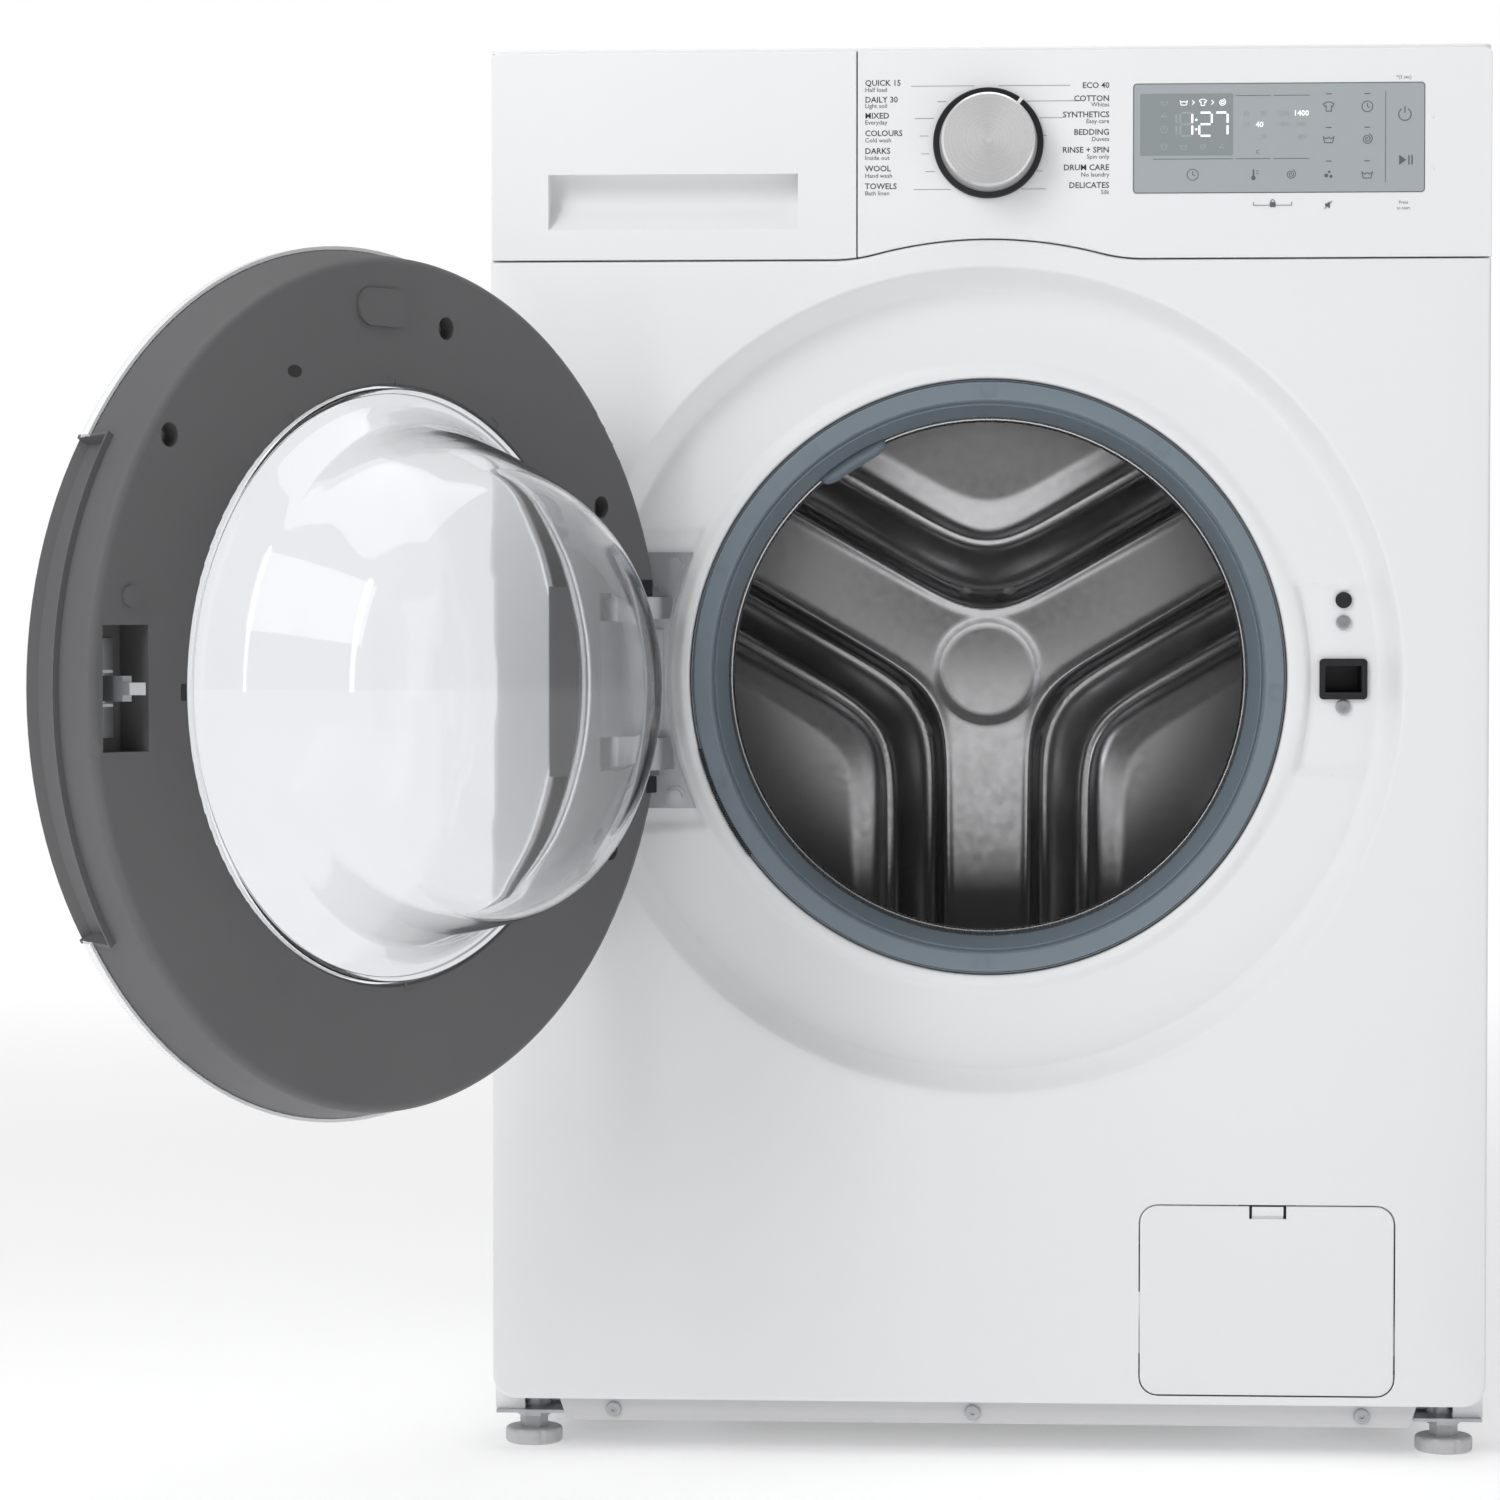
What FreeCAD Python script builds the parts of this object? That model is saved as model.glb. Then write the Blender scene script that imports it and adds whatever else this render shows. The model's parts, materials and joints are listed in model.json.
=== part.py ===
import FreeCAD, Part
import math
import os

# Front load washing machine. Millimetres, +Z up, +X to the right of someone facing the door,
# +Y into the machine. The origin is on the floor under the middle of the cabinet.
# The door stands open at rest, turned about its hinge by door_open_angle from closed.

V = FreeCAD.Vector
UP = V(0, 0, 1)

# ---- driving dimensions: cabinet ----
cabinet_width = 600.0
cabinet_height = 850.0
cabinet_depth = 550.0
sheet = 1.5                    # wall of the pressed steel panels
panel_gap = 0.8                # visible gap between two panels
cabinet_floor_z = 24.0         # underside of the steel wrap
back_inset = 4.0               # the back plate lies this far inside the depth
top_thickness = 24.0
top_lip = 2.2                  # lip of the worktop that covers the fascia
front_flange = 16.0            # depth of the front panel's folded edge
front_bottom_z = 32.5
front_corner = 14.0            # lower corners of the front panel
side_press = 2.5               # depth of the pressed field in each side

# ---- driving dimensions: fascia, drawer front, knob and display ----
split_z = 722.8                # line between front panel and fascia
arch_radius = 265.4            # arch of that line over the door
arch_blend = 100.0
fascia_depth = 50.0
fascia_wall = 2.5
fascia_corner = 4.5
edge_round = 0.7
drawer_split_x = -78.7         # line between drawer front and fascia
drawer_front_thickness = 23.0
scoop_x = (-265.0, -114.3)     # finger scoop of the drawer
scoop_z = (740.9, 774.6)
scoop_depth = 17.0
knob_z = 792.1
knob_ring_radius = 33.1
knob_base_radius = 29.3
knob_face_radius = 26.6
knob_height = 24.5
knob_shaft_radius = 3.0
shaft_clearance = 0.05         # radial, of every turning shaft in its bore
display_x = (86.5, 260.2)
display_z = (761.4, 827.1)
display_thickness = 2.2
board_thickness = 1.6
board_depth = 13.0             # board behind the front plane

# ---- driving dimensions: door, hinge and latch ----
door_z = 469.5                 # centre height of the door and of its recess
recess_radius = 250.0
recess_floor = 23.0            # depth of the dish behind the front plane
pad_depth = 3.0                # the hinge's and the lock's pads lie this much deeper
hinge_pad = 90.0               # half height of the hinge's pad
lock_pad = 56.0
rim_step = 13.5                # the dish ends this far outside the gasket's neck
door_flat_depth = 17.0         # the closed door's inner face, behind the front plane
door_flat_radius = 237.5
door_radius = 245.5
door_rim_height = 34.0         # inner face to the seam between grey and white rings
door_thickness = 50.0
door_window_radius = 188.0
door_wall = 2.5
glass_radius = 165.5
glass_wall = 4.0
glass_depth = 110.0
hinge_x = -224.0
hinge_reach = 27.0             # the hinge axis lies this far in front of the door's inner face
hinge_pin_radius = 3.0
bracket_plate = 3.0
door_open_angle = 124.0
pocket_half_height = 54.0      # hinge pocket in the door
latch_x = 213.0
latch_z = 470.5

# ---- driving dimensions: drum, tub and suspension ----
drum_z = 471.5
drum_radius = 245.0
drum_sheet = 1.2
drum_press = 25.0              # width of the sloped flank of each raised spoke
drum_mouth_radius = 157.5
drum_front_depth = 95.0        # mouth of the drum, behind the front plane
drum_back_depth = 415.0
spoke_half_width = 28.5
spoke_height = 22.0
tub_gap = 11.0                 # drum to tub
tub_wall = 4.0
tub_front_depth = 78.0
tub_rear_depth = 460.0
tub_split_depth = 262.0
tub_flange = 8.0
tub_mouth_radius = 170.0
tub_travel = 8.0               # how far the tub may float up or down
gasket_outer_radius = 179.0
gasket_inner_radius = 158.4
gasket_depth = 18.5            # the gasket's face, behind the front plane
neck_radius = 181.0
shaft_radius = 15.0
bearing_radius = 31.0
bearing_width = 16.0
drum_pulley_radius = 140.0
motor_pulley_radius = 11.0
motor_x = 95.0
motor_z = 163.0
motor_radius = 55.0
motor_shaft_radius = 6.0
belt_thickness = 3.0
belt_width = 12.0
damper_x = 190.0
damper_radius = 14.0
damper_rod_radius = 7.0
spring_x = 272.0
spring_y = 92.0
spring_z = (574.0, 792.0)
spring_radius = 11.0
spring_wire = 1.8
spring_turns = 24

# ---- driving dimensions: service parts and feet ----
flap_x = (92.4, 244.6)
flap_z = (38.9, 153.4)
flap_corner = 10.7
flap_axis = 14.0               # the flap's hinge line over its lower edge
flap_pin_radius = 1.2
filter_radius = 32.0
filter_z = 96.0
pump_shelf_z = 52.0
foot_x = 278.5
foot_y = 238.0
foot_radius = 17.5
foot_height = 9.8
foot_neck = 6.5                # height of the hexagon above the foot's disc
foot_thread_radius = 5.0
foot_boss = 11.0               # radius of the threaded boss in the base
nut_height = 4.6
nut_radius = 10.0
thread_clearance = 0.1
kick_z = (18.4, 31.5)
kick_inset = 10.0              # kick strip behind the front plane
inlet_thread_radius = 13.2     # three-quarter inch pipe thread
drain_radius = 10.5
screw_clearance = 0.1

# ---- values that follow from them ----
half_width = cabinet_width / 2
front_y = -cabinet_depth / 2
pad_y = front_y + recess_floor + pad_depth
back_y = cabinet_depth / 2
plate_y = back_y - back_inset
wrap_top_z = cabinet_height - top_thickness - 1.0
fascia_top_z = cabinet_height - top_lip - 0.3
fascia_back_y = front_y + fascia_depth
flat_y = front_y + door_flat_depth
hinge_y = flat_y - hinge_reach
tub_inner = drum_radius + tub_gap
tub_outer = tub_inner + tub_wall
drum_front_y = front_y + drum_front_depth
drum_back_y = front_y + drum_back_depth
tub_front_y = front_y + tub_front_depth
tub_rear_y = front_y + tub_rear_depth
tub_split_y = front_y + tub_split_depth
filter_x = sum(flap_x) / 2


# ---- small tools ----
def box(x, y, z):
    """A block between two corners, given as low and high of each axis."""
    return Part.makeBox(x[1] - x[0], y[1] - y[0], z[1] - z[0], V(x[0], y[0], z[0]))


def rod(radius, start, end):
    """A cylinder from one point to another."""
    along = V(*end) - V(*start)
    return Part.makeCylinder(radius, along.Length, V(*start), along)


def tube(outer, inner, start, end):
    return rod(outer, start, end).cut(rod(inner, start, end))


def cone(r1, r2, start, end):
    along = V(*end) - V(*start)
    return Part.makeCone(r1, r2, along.Length, V(*start), along)


def hexagon(radius, start, end):
    """A hexagonal bar; radius is to its corners."""
    along = V(*end) - V(*start)
    side = V(1, 0, 0) if abs(along.x) < 1e-6 else V(0, 0, 1)
    other = along.cross(side).normalize()
    turns = [math.radians(60 * k) for k in range(7)]
    ring = [V(*start) + side * (radius * math.cos(a)) + other * (radius * math.sin(a)) for a in turns]
    return Part.Face(Part.makePolygon(ring)).extrude(along)


def unit(a, b):
    length = math.hypot(b[0] - a[0], b[1] - a[1])
    return (b[0] - a[0]) / length, (b[1] - a[1]) / length


def rounded_path(points, radii, lift):
    """Edges along a polyline whose inner corners are rounded; lift turns a 2-D point into 3-D."""
    edges, last = [], points[0]
    for before, corner, after, radius in zip(points, points[1:], points[2:], radii):
        into, out = unit(corner, before), unit(corner, after)
        turn = math.pi - math.acos(max(-1.0, min(1.0, into[0] * out[0] + into[1] * out[1])))
        if radius < 1e-6 or turn < 1e-4:
            start = middle = end = corner
        else:
            reach = radius * math.tan(turn / 2)
            start = (corner[0] + into[0] * reach, corner[1] + into[1] * reach)
            end = (corner[0] + out[0] * reach, corner[1] + out[1] * reach)
            mean = unit((0, 0), (into[0] + out[0], into[1] + out[1]))
            away = radius / math.cos(turn / 2) - radius
            middle = (corner[0] + mean[0] * away, corner[1] + mean[1] * away)
        if math.hypot(start[0] - last[0], start[1] - last[1]) > 1e-4:
            edges.append(Part.LineSegment(lift(last), lift(start)).toShape())
        if start is not corner:
            edges.append(Part.Arc(lift(start), lift(middle), lift(end)).toShape())
        last = end
    edges.append(Part.LineSegment(lift(last), lift(points[-1])).toShape())
    return edges


def beside(points, distance):
    """The polyline moved sideways by distance, to the left of its direction."""
    moved = []
    for k, p in enumerate(points):
        before = unit(points[k - 1], p) if k else unit(p, points[1])
        after = unit(p, points[k + 1]) if k < len(points) - 1 else before
        n1, n2 = (-before[1], before[0]), (-after[1], after[0])
        share = distance / (1 + n1[0] * n2[0] + n1[1] * n2[1])
        moved.append((p[0] + (n1[0] + n2[0]) * share, p[1] + (n1[1] + n2[1]) * share))
    return moved


def turned_left(a, b, c):
    return (b[0] - a[0]) * (c[1] - b[1]) - (b[1] - a[1]) * (c[0] - b[0]) > 0


def strip_face(points, radii, wall, lift):
    """The face of a bent sheet: a rounded path and the same path moved left by its wall."""
    other = beside(points, wall)
    other_radii = []
    for a, b, c, r in zip(points, points[1:], points[2:], radii):
        other_radii.append(max(0.05, r - wall) if turned_left(a, b, c) else r + wall)
    there = rounded_path(points, radii, lift)
    back = rounded_path(other[::-1], other_radii[::-1], lift)
    ends = [Part.LineSegment(lift(points[-1]), lift(other[-1])).toShape(),
            Part.LineSegment(lift(other[0]), lift(points[0])).toShape()]
    return Part.Face(Part.Wire(Part.__sortEdges__(there + [ends[0]] + back + [ends[1]])))


def flat_lift(p):
    return V(p[0], p[1], 0)


def spin(face, axis_z):
    """Turns a face drawn as (radius, y) about the Y axis at a height."""
    solid = face.revolve(V(0, 0, 0), V(0, 1, 0), 360)
    solid.translate(V(0, 0, axis_z))
    return solid


def ring(points, axis_z):
    """A solid of revolution from a closed polygon of (radius, y)."""
    return spin(Part.Face(Part.makePolygon([flat_lift(p) for p in points + points[:1]])), axis_z)


def sheet_ring(points, radii, wall, axis_z):
    """A pressed or moulded shell of revolution: the path is its visible side."""
    return spin(strip_face(points, radii, wall, flat_lift), axis_z)


def rounded_block(x, z, radius, y):
    """A block through y whose four X-Z corners are rounded."""
    corners = [((x[0] + x[1]) / 2, z[0]), (x[1], z[0]), (x[1], z[1]), (x[0], z[1]), (x[0], z[0])]
    path = corners + [corners[0]]
    edges = rounded_path(path, [radius] * 4, lambda p: V(p[0], y[0], p[1]))
    return Part.Face(Part.Wire(edges)).extrude(V(0, y[1] - y[0], 0))


def joined(first, *others):
    return first.fuse(list(others)).removeSplitter()


def screw(head, head_height, shank, length, at, along):
    """A pan head screw: at is under its head, along points where its shank goes."""
    at, along = V(*at), V(*along).normalize()
    body = Part.makeCylinder(head, head_height, at, along * -1)
    body = body.makeFillet(head_height * 0.45, [body.Edges[0]])
    drive = Part.makeCylinder(head * 0.32, head_height * 0.5, at - along * (head_height + 0.01), along)
    return body.cut(drive).fuse(Part.makeCylinder(shank, length, at, along)).removeSplitter()


def arch_outline(low_z, y):
    """Front outline above or below the split line, as 3-D edges along the arched line."""
    rise = split_z - door_z
    blend_x = math.sqrt((arch_radius + arch_blend) ** 2 - (rise + arch_blend) ** 2)
    share = arch_radius / (arch_radius + arch_blend)
    touch = (blend_x * share, door_z + (rise + arch_blend) * share)
    half = math.atan2(blend_x, rise + arch_blend) / 2
    middle = (blend_x - arch_blend * math.sin(half), split_z + arch_blend - arch_blend * math.cos(half))
    offset = low_z - split_z

    def at(x, z):
        return V(x, y, z + offset)

    return [
        Part.LineSegment(at(-half_width, split_z), at(-blend_x, split_z)).toShape(),
        Part.Arc(at(-blend_x, split_z), at(-middle[0], middle[1]), at(-touch[0], touch[1])).toShape(),
        Part.Arc(at(-touch[0], touch[1]), at(0, door_z + arch_radius), at(touch[0], touch[1])).toShape(),
        Part.Arc(at(touch[0], touch[1]), at(middle[0], middle[1]), at(blend_x, split_z)).toShape(),
        Part.LineSegment(at(blend_x, split_z), at(half_width, split_z)).toShape(),
    ]


def opened(shape):
    """Turns a piece of the closed door to where it stands at rest."""
    turned = shape.copy()
    turned.rotate(V(hinge_x, hinge_y, 0), UP, -door_open_angle)
    return turned


parts = {}


# ---- cabinet ----
def cabinet_wrap():
    """Sides and back as one bent sheet, with folded edges, a rear opening and pressed sides."""
    x, y, z = (-half_width, half_width), (front_y + front_flange + 0.5, plate_y), (cabinet_floor_z,
                                                                                   wrap_top_z)
    shell = box(x, y, z)
    upright = [e for e in shell.Edges if abs(e.BoundBox.ZLength - (z[1] - z[0])) < 0.1
               and e.BoundBox.YMin > 0]
    shell = shell.makeFillet(6.0, upright)
    fold = 18.0
    inside = box((x[0] + sheet, x[1] - sheet), (y[0] + sheet, y[1] - sheet), (z[0] + sheet, z[1] - sheet))
    shell = shell.cut(inside)
    shell = shell.cut(box((x[0] + fold, x[1] - fold), (y[0] - 1, y[0] + sheet + 1), (z[0] - 1, z[1] + 1)))
    shell = shell.cut(box((x[0] + fold, x[1] - fold), (y[0] - 1, y[1] - fold), (z[1] - sheet - 1, z[1] + 1)))
    shell = shell.cut(box((x[0] + fold, x[1] - fold), (y[0] - 1, y[1] - fold), (z[0] - 1, z[0] + sheet + 1)))
    field_y, field_z = (-165.0, 185.0), (150.0, 700.0)
    for side in (-1, 1):
        outer = side * half_width
        inner = side * (half_width - sheet)
        deep = side * (half_width - sheet - side_press)
        back = box(sorted((inner, deep)), field_y, field_z)
        shell = shell.fuse(back)
        slope = 4.0
        low = Part.makePolygon([V(outer, field_y[0], field_z[0]), V(outer, field_y[1], field_z[0]),
                                V(outer, field_y[1], field_z[1]), V(outer, field_y[0], field_z[1]),
                                V(outer, field_y[0], field_z[0])])
        bed = outer - side * side_press
        top = Part.makePolygon([V(bed, field_y[0] + slope, field_z[0] + slope),
                                V(bed, field_y[1] - slope, field_z[0] + slope),
                                V(bed, field_y[1] - slope, field_z[1] - slope),
                                V(bed, field_y[0] + slope, field_z[1] - slope),
                                V(bed, field_y[0] + slope, field_z[0] + slope)])
        shell = shell.cut(Part.makeLoft([low, top], True))
    shell = shell.cut(rounded_block((-205, 205), (140, 690), 30.0, (plate_y - 4, plate_y + 1)))
    for hole_x, hole_z, hole_r in rear_holes():
        shell = shell.cut(rod(hole_r, (hole_x, plate_y - 4, hole_z), (hole_x, plate_y + 1, hole_z)))
    for hole_x, hole_z in rear_screw_places():
        shell = shell.cut(rod(1.9 + screw_clearance, (hole_x, plate_y - 4, hole_z),
                              (hole_x, plate_y + 1, hole_z)))
    shell = shell.cut(box((-half_width - 1, half_width + 1), (front_y, fascia_back_y + 0.5),
                          (split_z - panel_gap, cabinet_height)))
    for sx in (-1, 1):
        for sy in (-1, 1):
            shell = shell.cut(rod(foot_boss + 1.0, (sx * foot_x, sy * foot_y, 0),
                                  (sx * foot_x, sy * foot_y, 40)))
        shelf = box(sorted((sx * (half_width - sheet), sx * (spring_x - spring_radius - 3))),
                    (spring_y - 30, spring_y + 30), (spring_z[1] + 6, spring_z[1] + 8))
        brace = box(sorted((sx * (half_width - sheet), sx * (spring_x - spring_radius - 3))),
                    (spring_y + 28, spring_y + 30), (spring_z[1] - 24, spring_z[1] + 8))
        shell = shell.fuse([shelf, brace])
        shell = shell.cut(rod(spring_wire + 0.5, (sx * spring_x, spring_y, spring_z[1]),
                              (sx * spring_x, spring_y, spring_z[1] + 20)))
    return shell.removeSplitter()


inlet_at = (185.0, 775.0)
drain_at = (-235.0, 740.0)
gland_at = (235.0, 730.0)
transit_places = [(-232.0, 610.0), (232.0, 610.0), (-232.0, 330.0), (232.0, 330.0)]
transit_radius = 9.0


def rear_holes():
    """Round holes of the back plate: water inlet, drain, mains lead and transit bolts."""
    holes = [(inlet_at[0], inlet_at[1], inlet_thread_radius + 1.5),
             (drain_at[0], drain_at[1], drain_radius + 3.0),
             (gland_at[0], gland_at[1], 8.0)]
    return holes + [(x, z, transit_radius) for x, z in transit_places]


rear_cover_x = (-217.0, 217.0)
rear_cover_z = (128.0, 702.0)


def rear_screw_places():
    inset = 6.5
    xs = (rear_cover_x[0] + inset, 0.0, rear_cover_x[1] - inset)
    places = [(x, z) for z in (rear_cover_z[0] + inset, rear_cover_z[1] - inset) for x in xs]
    return places + [(x, sum(rear_cover_z) / 2) for x in (xs[0], xs[2])]


def rear_cover():
    plate = rounded_block(rear_cover_x, rear_cover_z, 12.0, (plate_y, plate_y + sheet))
    field = rounded_block((-180, 180), (165, 665), 28.0, (plate_y + sheet - 0.1, back_y))
    hollow = rounded_block((-178, 178), (167, 663), 26.5, (plate_y - 1, back_y - sheet))
    plate = plate.fuse(field).cut(hollow)
    for x, z in rear_screw_places():
        plate = plate.cut(rod(1.9 + screw_clearance, (x, plate_y - 1, z), (x, back_y, z)))
    for level in range(6):
        z = 560.0 + 14.0 * level
        plate = plate.cut(rounded_block((-60, 60), (z, z + 5), 2.4, (plate_y - 1, back_y + 1)))
    return plate.removeSplitter()


def top_cover():
    """Worktop: a hollow slab whose thin front lip lies over the fascia."""
    x = (-half_width, half_width)
    low_z = cabinet_height - top_thickness
    slab = box(x, (fascia_back_y + 0.5, back_y - 2), (low_z, cabinet_height))
    lip = box(x, (front_y + 3.0, fascia_back_y + 1), (cabinet_height - top_lip, cabinet_height))
    slab = slab.fuse(lip).removeSplitter()
    upright = [e for e in slab.Edges if e.BoundBox.XLength < 0.01 and e.BoundBox.YLength < 0.01
               and abs(e.BoundBox.XMax) > half_width - 1
               and (e.BoundBox.YMin > 0 or e.BoundBox.YMax < front_y + 5)]
    slab = slab.makeFillet(6.0, upright)
    rim = [e for e in slab.Edges if e.BoundBox.ZMin > cabinet_height - 0.01]
    slab = slab.makeFillet(1.2, rim)
    wall = 3.0
    hollow = box((x[0] + wall, x[1] - wall), (fascia_back_y + 0.5 + wall, back_y - 2 - wall),
                 (low_z - 1, cabinet_height - wall))
    ribs = [box((x[0] + wall, x[1] - wall), (y, y + 2.5), (low_z + 6, cabinet_height - wall))
            for y in (-110.0, 20.0, 150.0)]
    return slab.cut(hollow).fuse(ribs).removeSplitter()


def front_outline(inset, y):
    """Outline of the front panel, its arched top edge half a gap under the split line."""
    top = arch_outline(split_z - panel_gap / 2, y)
    top_z = split_z - panel_gap / 2
    corner = front_corner
    sides = [(half_width, top_z), (half_width, front_bottom_z), (-half_width, front_bottom_z),
             (-half_width, top_z)]
    around = rounded_path(sides, [corner, corner], lambda p: V(p[0], y, p[1]))
    wire = Part.Wire(Part.__sortEdges__(top + around))
    if inset:
        wire = wire.makeOffset2D(-inset)
    return Part.Face(wire)


def front_panel():
    """Pressed steel front: a tray with a dished recess for the door and a neck for the gasket."""
    outer = front_outline(0, front_y).extrude(V(0, front_flange, 0))
    edge = [e for e in outer.Edges if e.BoundBox.YMax < front_y + 0.01]
    outer = outer.makeFillet(3.0, edge)
    tray = outer.cut(front_outline(sheet, front_y + sheet).extrude(V(0, front_flange, 0)))
    tray = tray.cut(rod(recess_radius + 5, (0, front_y - 1, door_z), (0, front_y + 5, door_z)))
    floor_y = front_y + recess_floor
    dish = sheet_ring(
        [(recess_radius + 5.5, front_y), (recess_radius, front_y), (recess_radius - 12, floor_y),
         (neck_radius + 13, floor_y)], [4.0, 8.0], -sheet, door_z)
    rim = sheet_ring(
        [(neck_radius + 16, floor_y), (neck_radius + 9, floor_y), (neck_radius + 6, floor_y - 3.5),
         (neck_radius, floor_y - 3.5), (neck_radius, floor_y + 22)], [2.0, 2.0, 2.0], -sheet, drum_z)
    for_rim = rod(neck_radius + 15.5, (0, front_y - 1, drum_z), (0, front_y + 60, drum_z))
    air = ring([(0, front_y - 9), (recess_radius + 5, front_y - 9), (recess_radius + 5, front_y + 0.3),
                (recess_radius + 1, front_y + 0.8), (recess_radius - 11, floor_y), (0, floor_y)], door_z)
    pads, pockets = [], []
    for side, half in ((-1, hinge_pad), (1, lock_pad)):
        x = sorted((side * (recess_radius - 5), side * 150.0))
        skin = box((x[0] - sheet, x[1] + sheet), (front_y + 1.5, pad_y + sheet),
                   (door_z - half - sheet, door_z + half + sheet)).cut(air)
        pads.append(skin.cut(rod(neck_radius + rim_step - sheet, (0, front_y, drum_z), (0, back_y, drum_z))))
        pocket = box(x, (front_y - 5, pad_y), (door_z - half, door_z + half))
        pockets.append(pocket.cut(rod(neck_radius + rim_step, (0, front_y - 9, drum_z), (0, back_y, drum_z))))
    panel = joined(tray, dish.cut(for_rim), rim, *pads)
    for pocket in pockets:
        panel = panel.cut(pocket)
    panel = panel.cut(rounded_block((flap_x[0] - panel_gap, flap_x[1] + panel_gap),
                                    (flap_z[0] - panel_gap, flap_z[1] + panel_gap),
                                    flap_corner + panel_gap, (front_y - 1, front_y + 5)))
    panel = panel.cut(box((latch_x - 12, latch_x + 14), (front_y - 1, front_y + 60),
                          (latch_z - 10, latch_z + 10)))
    for x, z in lock_screw_places():
        panel = panel.cut(rod(1.9 + screw_clearance, (x, front_y, z), (x, front_y + 60, z)))
    panel = panel.cut(rod(3.5 + screw_clearance, (latch_x + 2, front_y, door_z + 48.8),
                          (latch_x + 2, front_y + 60, door_z + 48.8)))
    for x, z in hinge_screw_places():
        panel = panel.cut(rod(2.6 + screw_clearance, (x, front_y, z), (x, front_y + 60, z)))
    return panel.removeSplitter()


def lock_screw_places():
    return [(latch_x + 2, latch_z + 34.3), (latch_x + 2, latch_z - 17.0)]


def hinge_screw_places():
    return [(-190.0, door_z + 71.0), (-190.0, door_z - 71.0)]


def fascia_outline(y, low_x, high_x, inset=0.0):
    """Outline above the split line between two X values, with rounded top corners."""
    low_z = split_z + panel_gap / 2
    top = rounded_path([(half_width, low_z), (half_width, fascia_top_z), (-half_width, fascia_top_z),
                        (-half_width, low_z)], [fascia_corner, fascia_corner], lambda p: V(p[0], y, p[1]))
    wire = Part.Wire(Part.__sortEdges__(top + arch_outline(low_z, y)))
    if inset:
        wire = wire.makeOffset2D(-inset)
    solid = Part.Face(wire).extrude(V(0, 1, 0))
    return solid.common(box((low_x, high_x), (y - 1, y + 2), (0, cabinet_height + 10)))


def prism(outline_solid, depth):
    """Stretches a thin outline solid, one millimetre thick, to a depth along Y."""
    face = max((f for f in outline_solid.Faces if abs(f.BoundBox.YLength) < 1e-6), key=lambda f: f.Area)
    low = outline_solid.BoundBox.YMin
    moved = face.copy()
    moved.translate(V(0, low - face.BoundBox.YMin, 0))
    return moved.extrude(V(0, depth, 0))


def eased(body):
    """Rounds the front edges a little, as a moulding has them."""
    edges = [e for e in body.Edges if e.BoundBox.YMax < front_y + 0.01]
    return body.makeFillet(edge_round, edges)


tray_x = (-272.0, -106.0)
tray_z = (742.0, 806.0)
tray_length = 296.0
housing_gap = 1.2
housing_wall = 2.5


def control_panel():
    """White fascia: full width at the back, with a step for the drawer front on its left."""
    body = eased(prism(fascia_outline(front_y, -half_width, half_width), fascia_depth))
    body = body.cut(box((-half_width - 1, drawer_split_x + panel_gap / 2),
                        (front_y - 1, front_y + drawer_front_thickness + 1.0),
                        (split_z - 10, cabinet_height + 5)))
    hollow_right = prism(fascia_outline(front_y + fascia_wall, drawer_split_x + panel_gap / 2 + fascia_wall,
                                        half_width, fascia_wall), fascia_depth)
    hollow_left = prism(fascia_outline(front_y + drawer_front_thickness + 1.0 + fascia_wall,
                                       -half_width, drawer_split_x + 10, fascia_wall), fascia_depth)
    body = body.cut(hollow_right).cut(hollow_left)
    gap = housing_gap + housing_wall + 0.3
    body = body.cut(box((tray_x[0] - gap, tray_x[1] + gap), (front_y, fascia_back_y + 5),
                        (tray_z[0] - gap, tray_z[1] + gap)))
    body = body.cut(rounded_block(display_x, display_z, 2.2,
                                  (front_y - 1, front_y + display_thickness - 0.2)))
    body = body.cut(rounded_block((display_x[0] + 8, display_x[1] - 8),
                                  (display_z[0] + 8, display_z[1] - 8), 2.0,
                                  (front_y - 1, front_y + 5)))
    body = body.cut(rod(knob_shaft_radius + 0.6, (0, front_y - 1, knob_z), (0, front_y + 5, knob_z)))
    posts = [rod(3.0, (x, front_y + fascia_wall - 0.5, z), (x, front_y + board_depth, z))
             for x in (-20.0, 60.0) for z in (display_z[0] + 2, display_z[1] - 1)]
    posts += [rod(3.0, (display_x[1] - 1, front_y + fascia_wall - 0.5, z),
                  (display_x[1] - 1, front_y + board_depth, z))
              for z in (display_z[0] + 2, display_z[1] - 1)]
    return joined(body, *posts)


def display_window():
    return rounded_block((display_x[0] + 0.15, display_x[1] - 0.15),
                         (display_z[0] + 0.15, display_z[1] - 0.15), 2.1,
                         (front_y - 0.2, front_y + display_thickness - 0.2))


def display_board():
    """Board behind the window, with its chips and the knob's encoder."""
    y = front_y + board_depth
    board = box((-26, display_x[1] + 4), (y, y + board_thickness), (display_z[0] - 4, display_z[1] + 4))
    lamps = box((display_x[0] + 10, display_x[0] + 62), (y - 5, y), (display_z[0] + 21, display_z[0] + 60))
    encoder = tube(7.0, knob_shaft_radius + shaft_clearance, (0, y - 4, knob_z), (0, y, knob_z))
    chips = [box((x, x + 14), (y + board_thickness, y + board_thickness + 2.5), (780, 794))
             for x in (60.0, 110.0, 165.0, 215.0)]
    board = board.cut(rod(knob_shaft_radius + shaft_clearance, (0, y - 1, knob_z), (0, y + 5, knob_z)))
    return joined(board, lamps, encoder, *chips)


def knob_ring():
    y = front_y - 0.5
    body = tube(knob_ring_radius, knob_base_radius - 6, (0, y - 3.0, knob_z), (0, y, knob_z))
    edge = [e for e in body.Edges if abs(e.BoundBox.YMin - (y - 3.0)) < 0.01
            and e.BoundBox.XLength > 2 * knob_ring_radius - 1]
    return body.makeFillet(0.8, edge)


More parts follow.
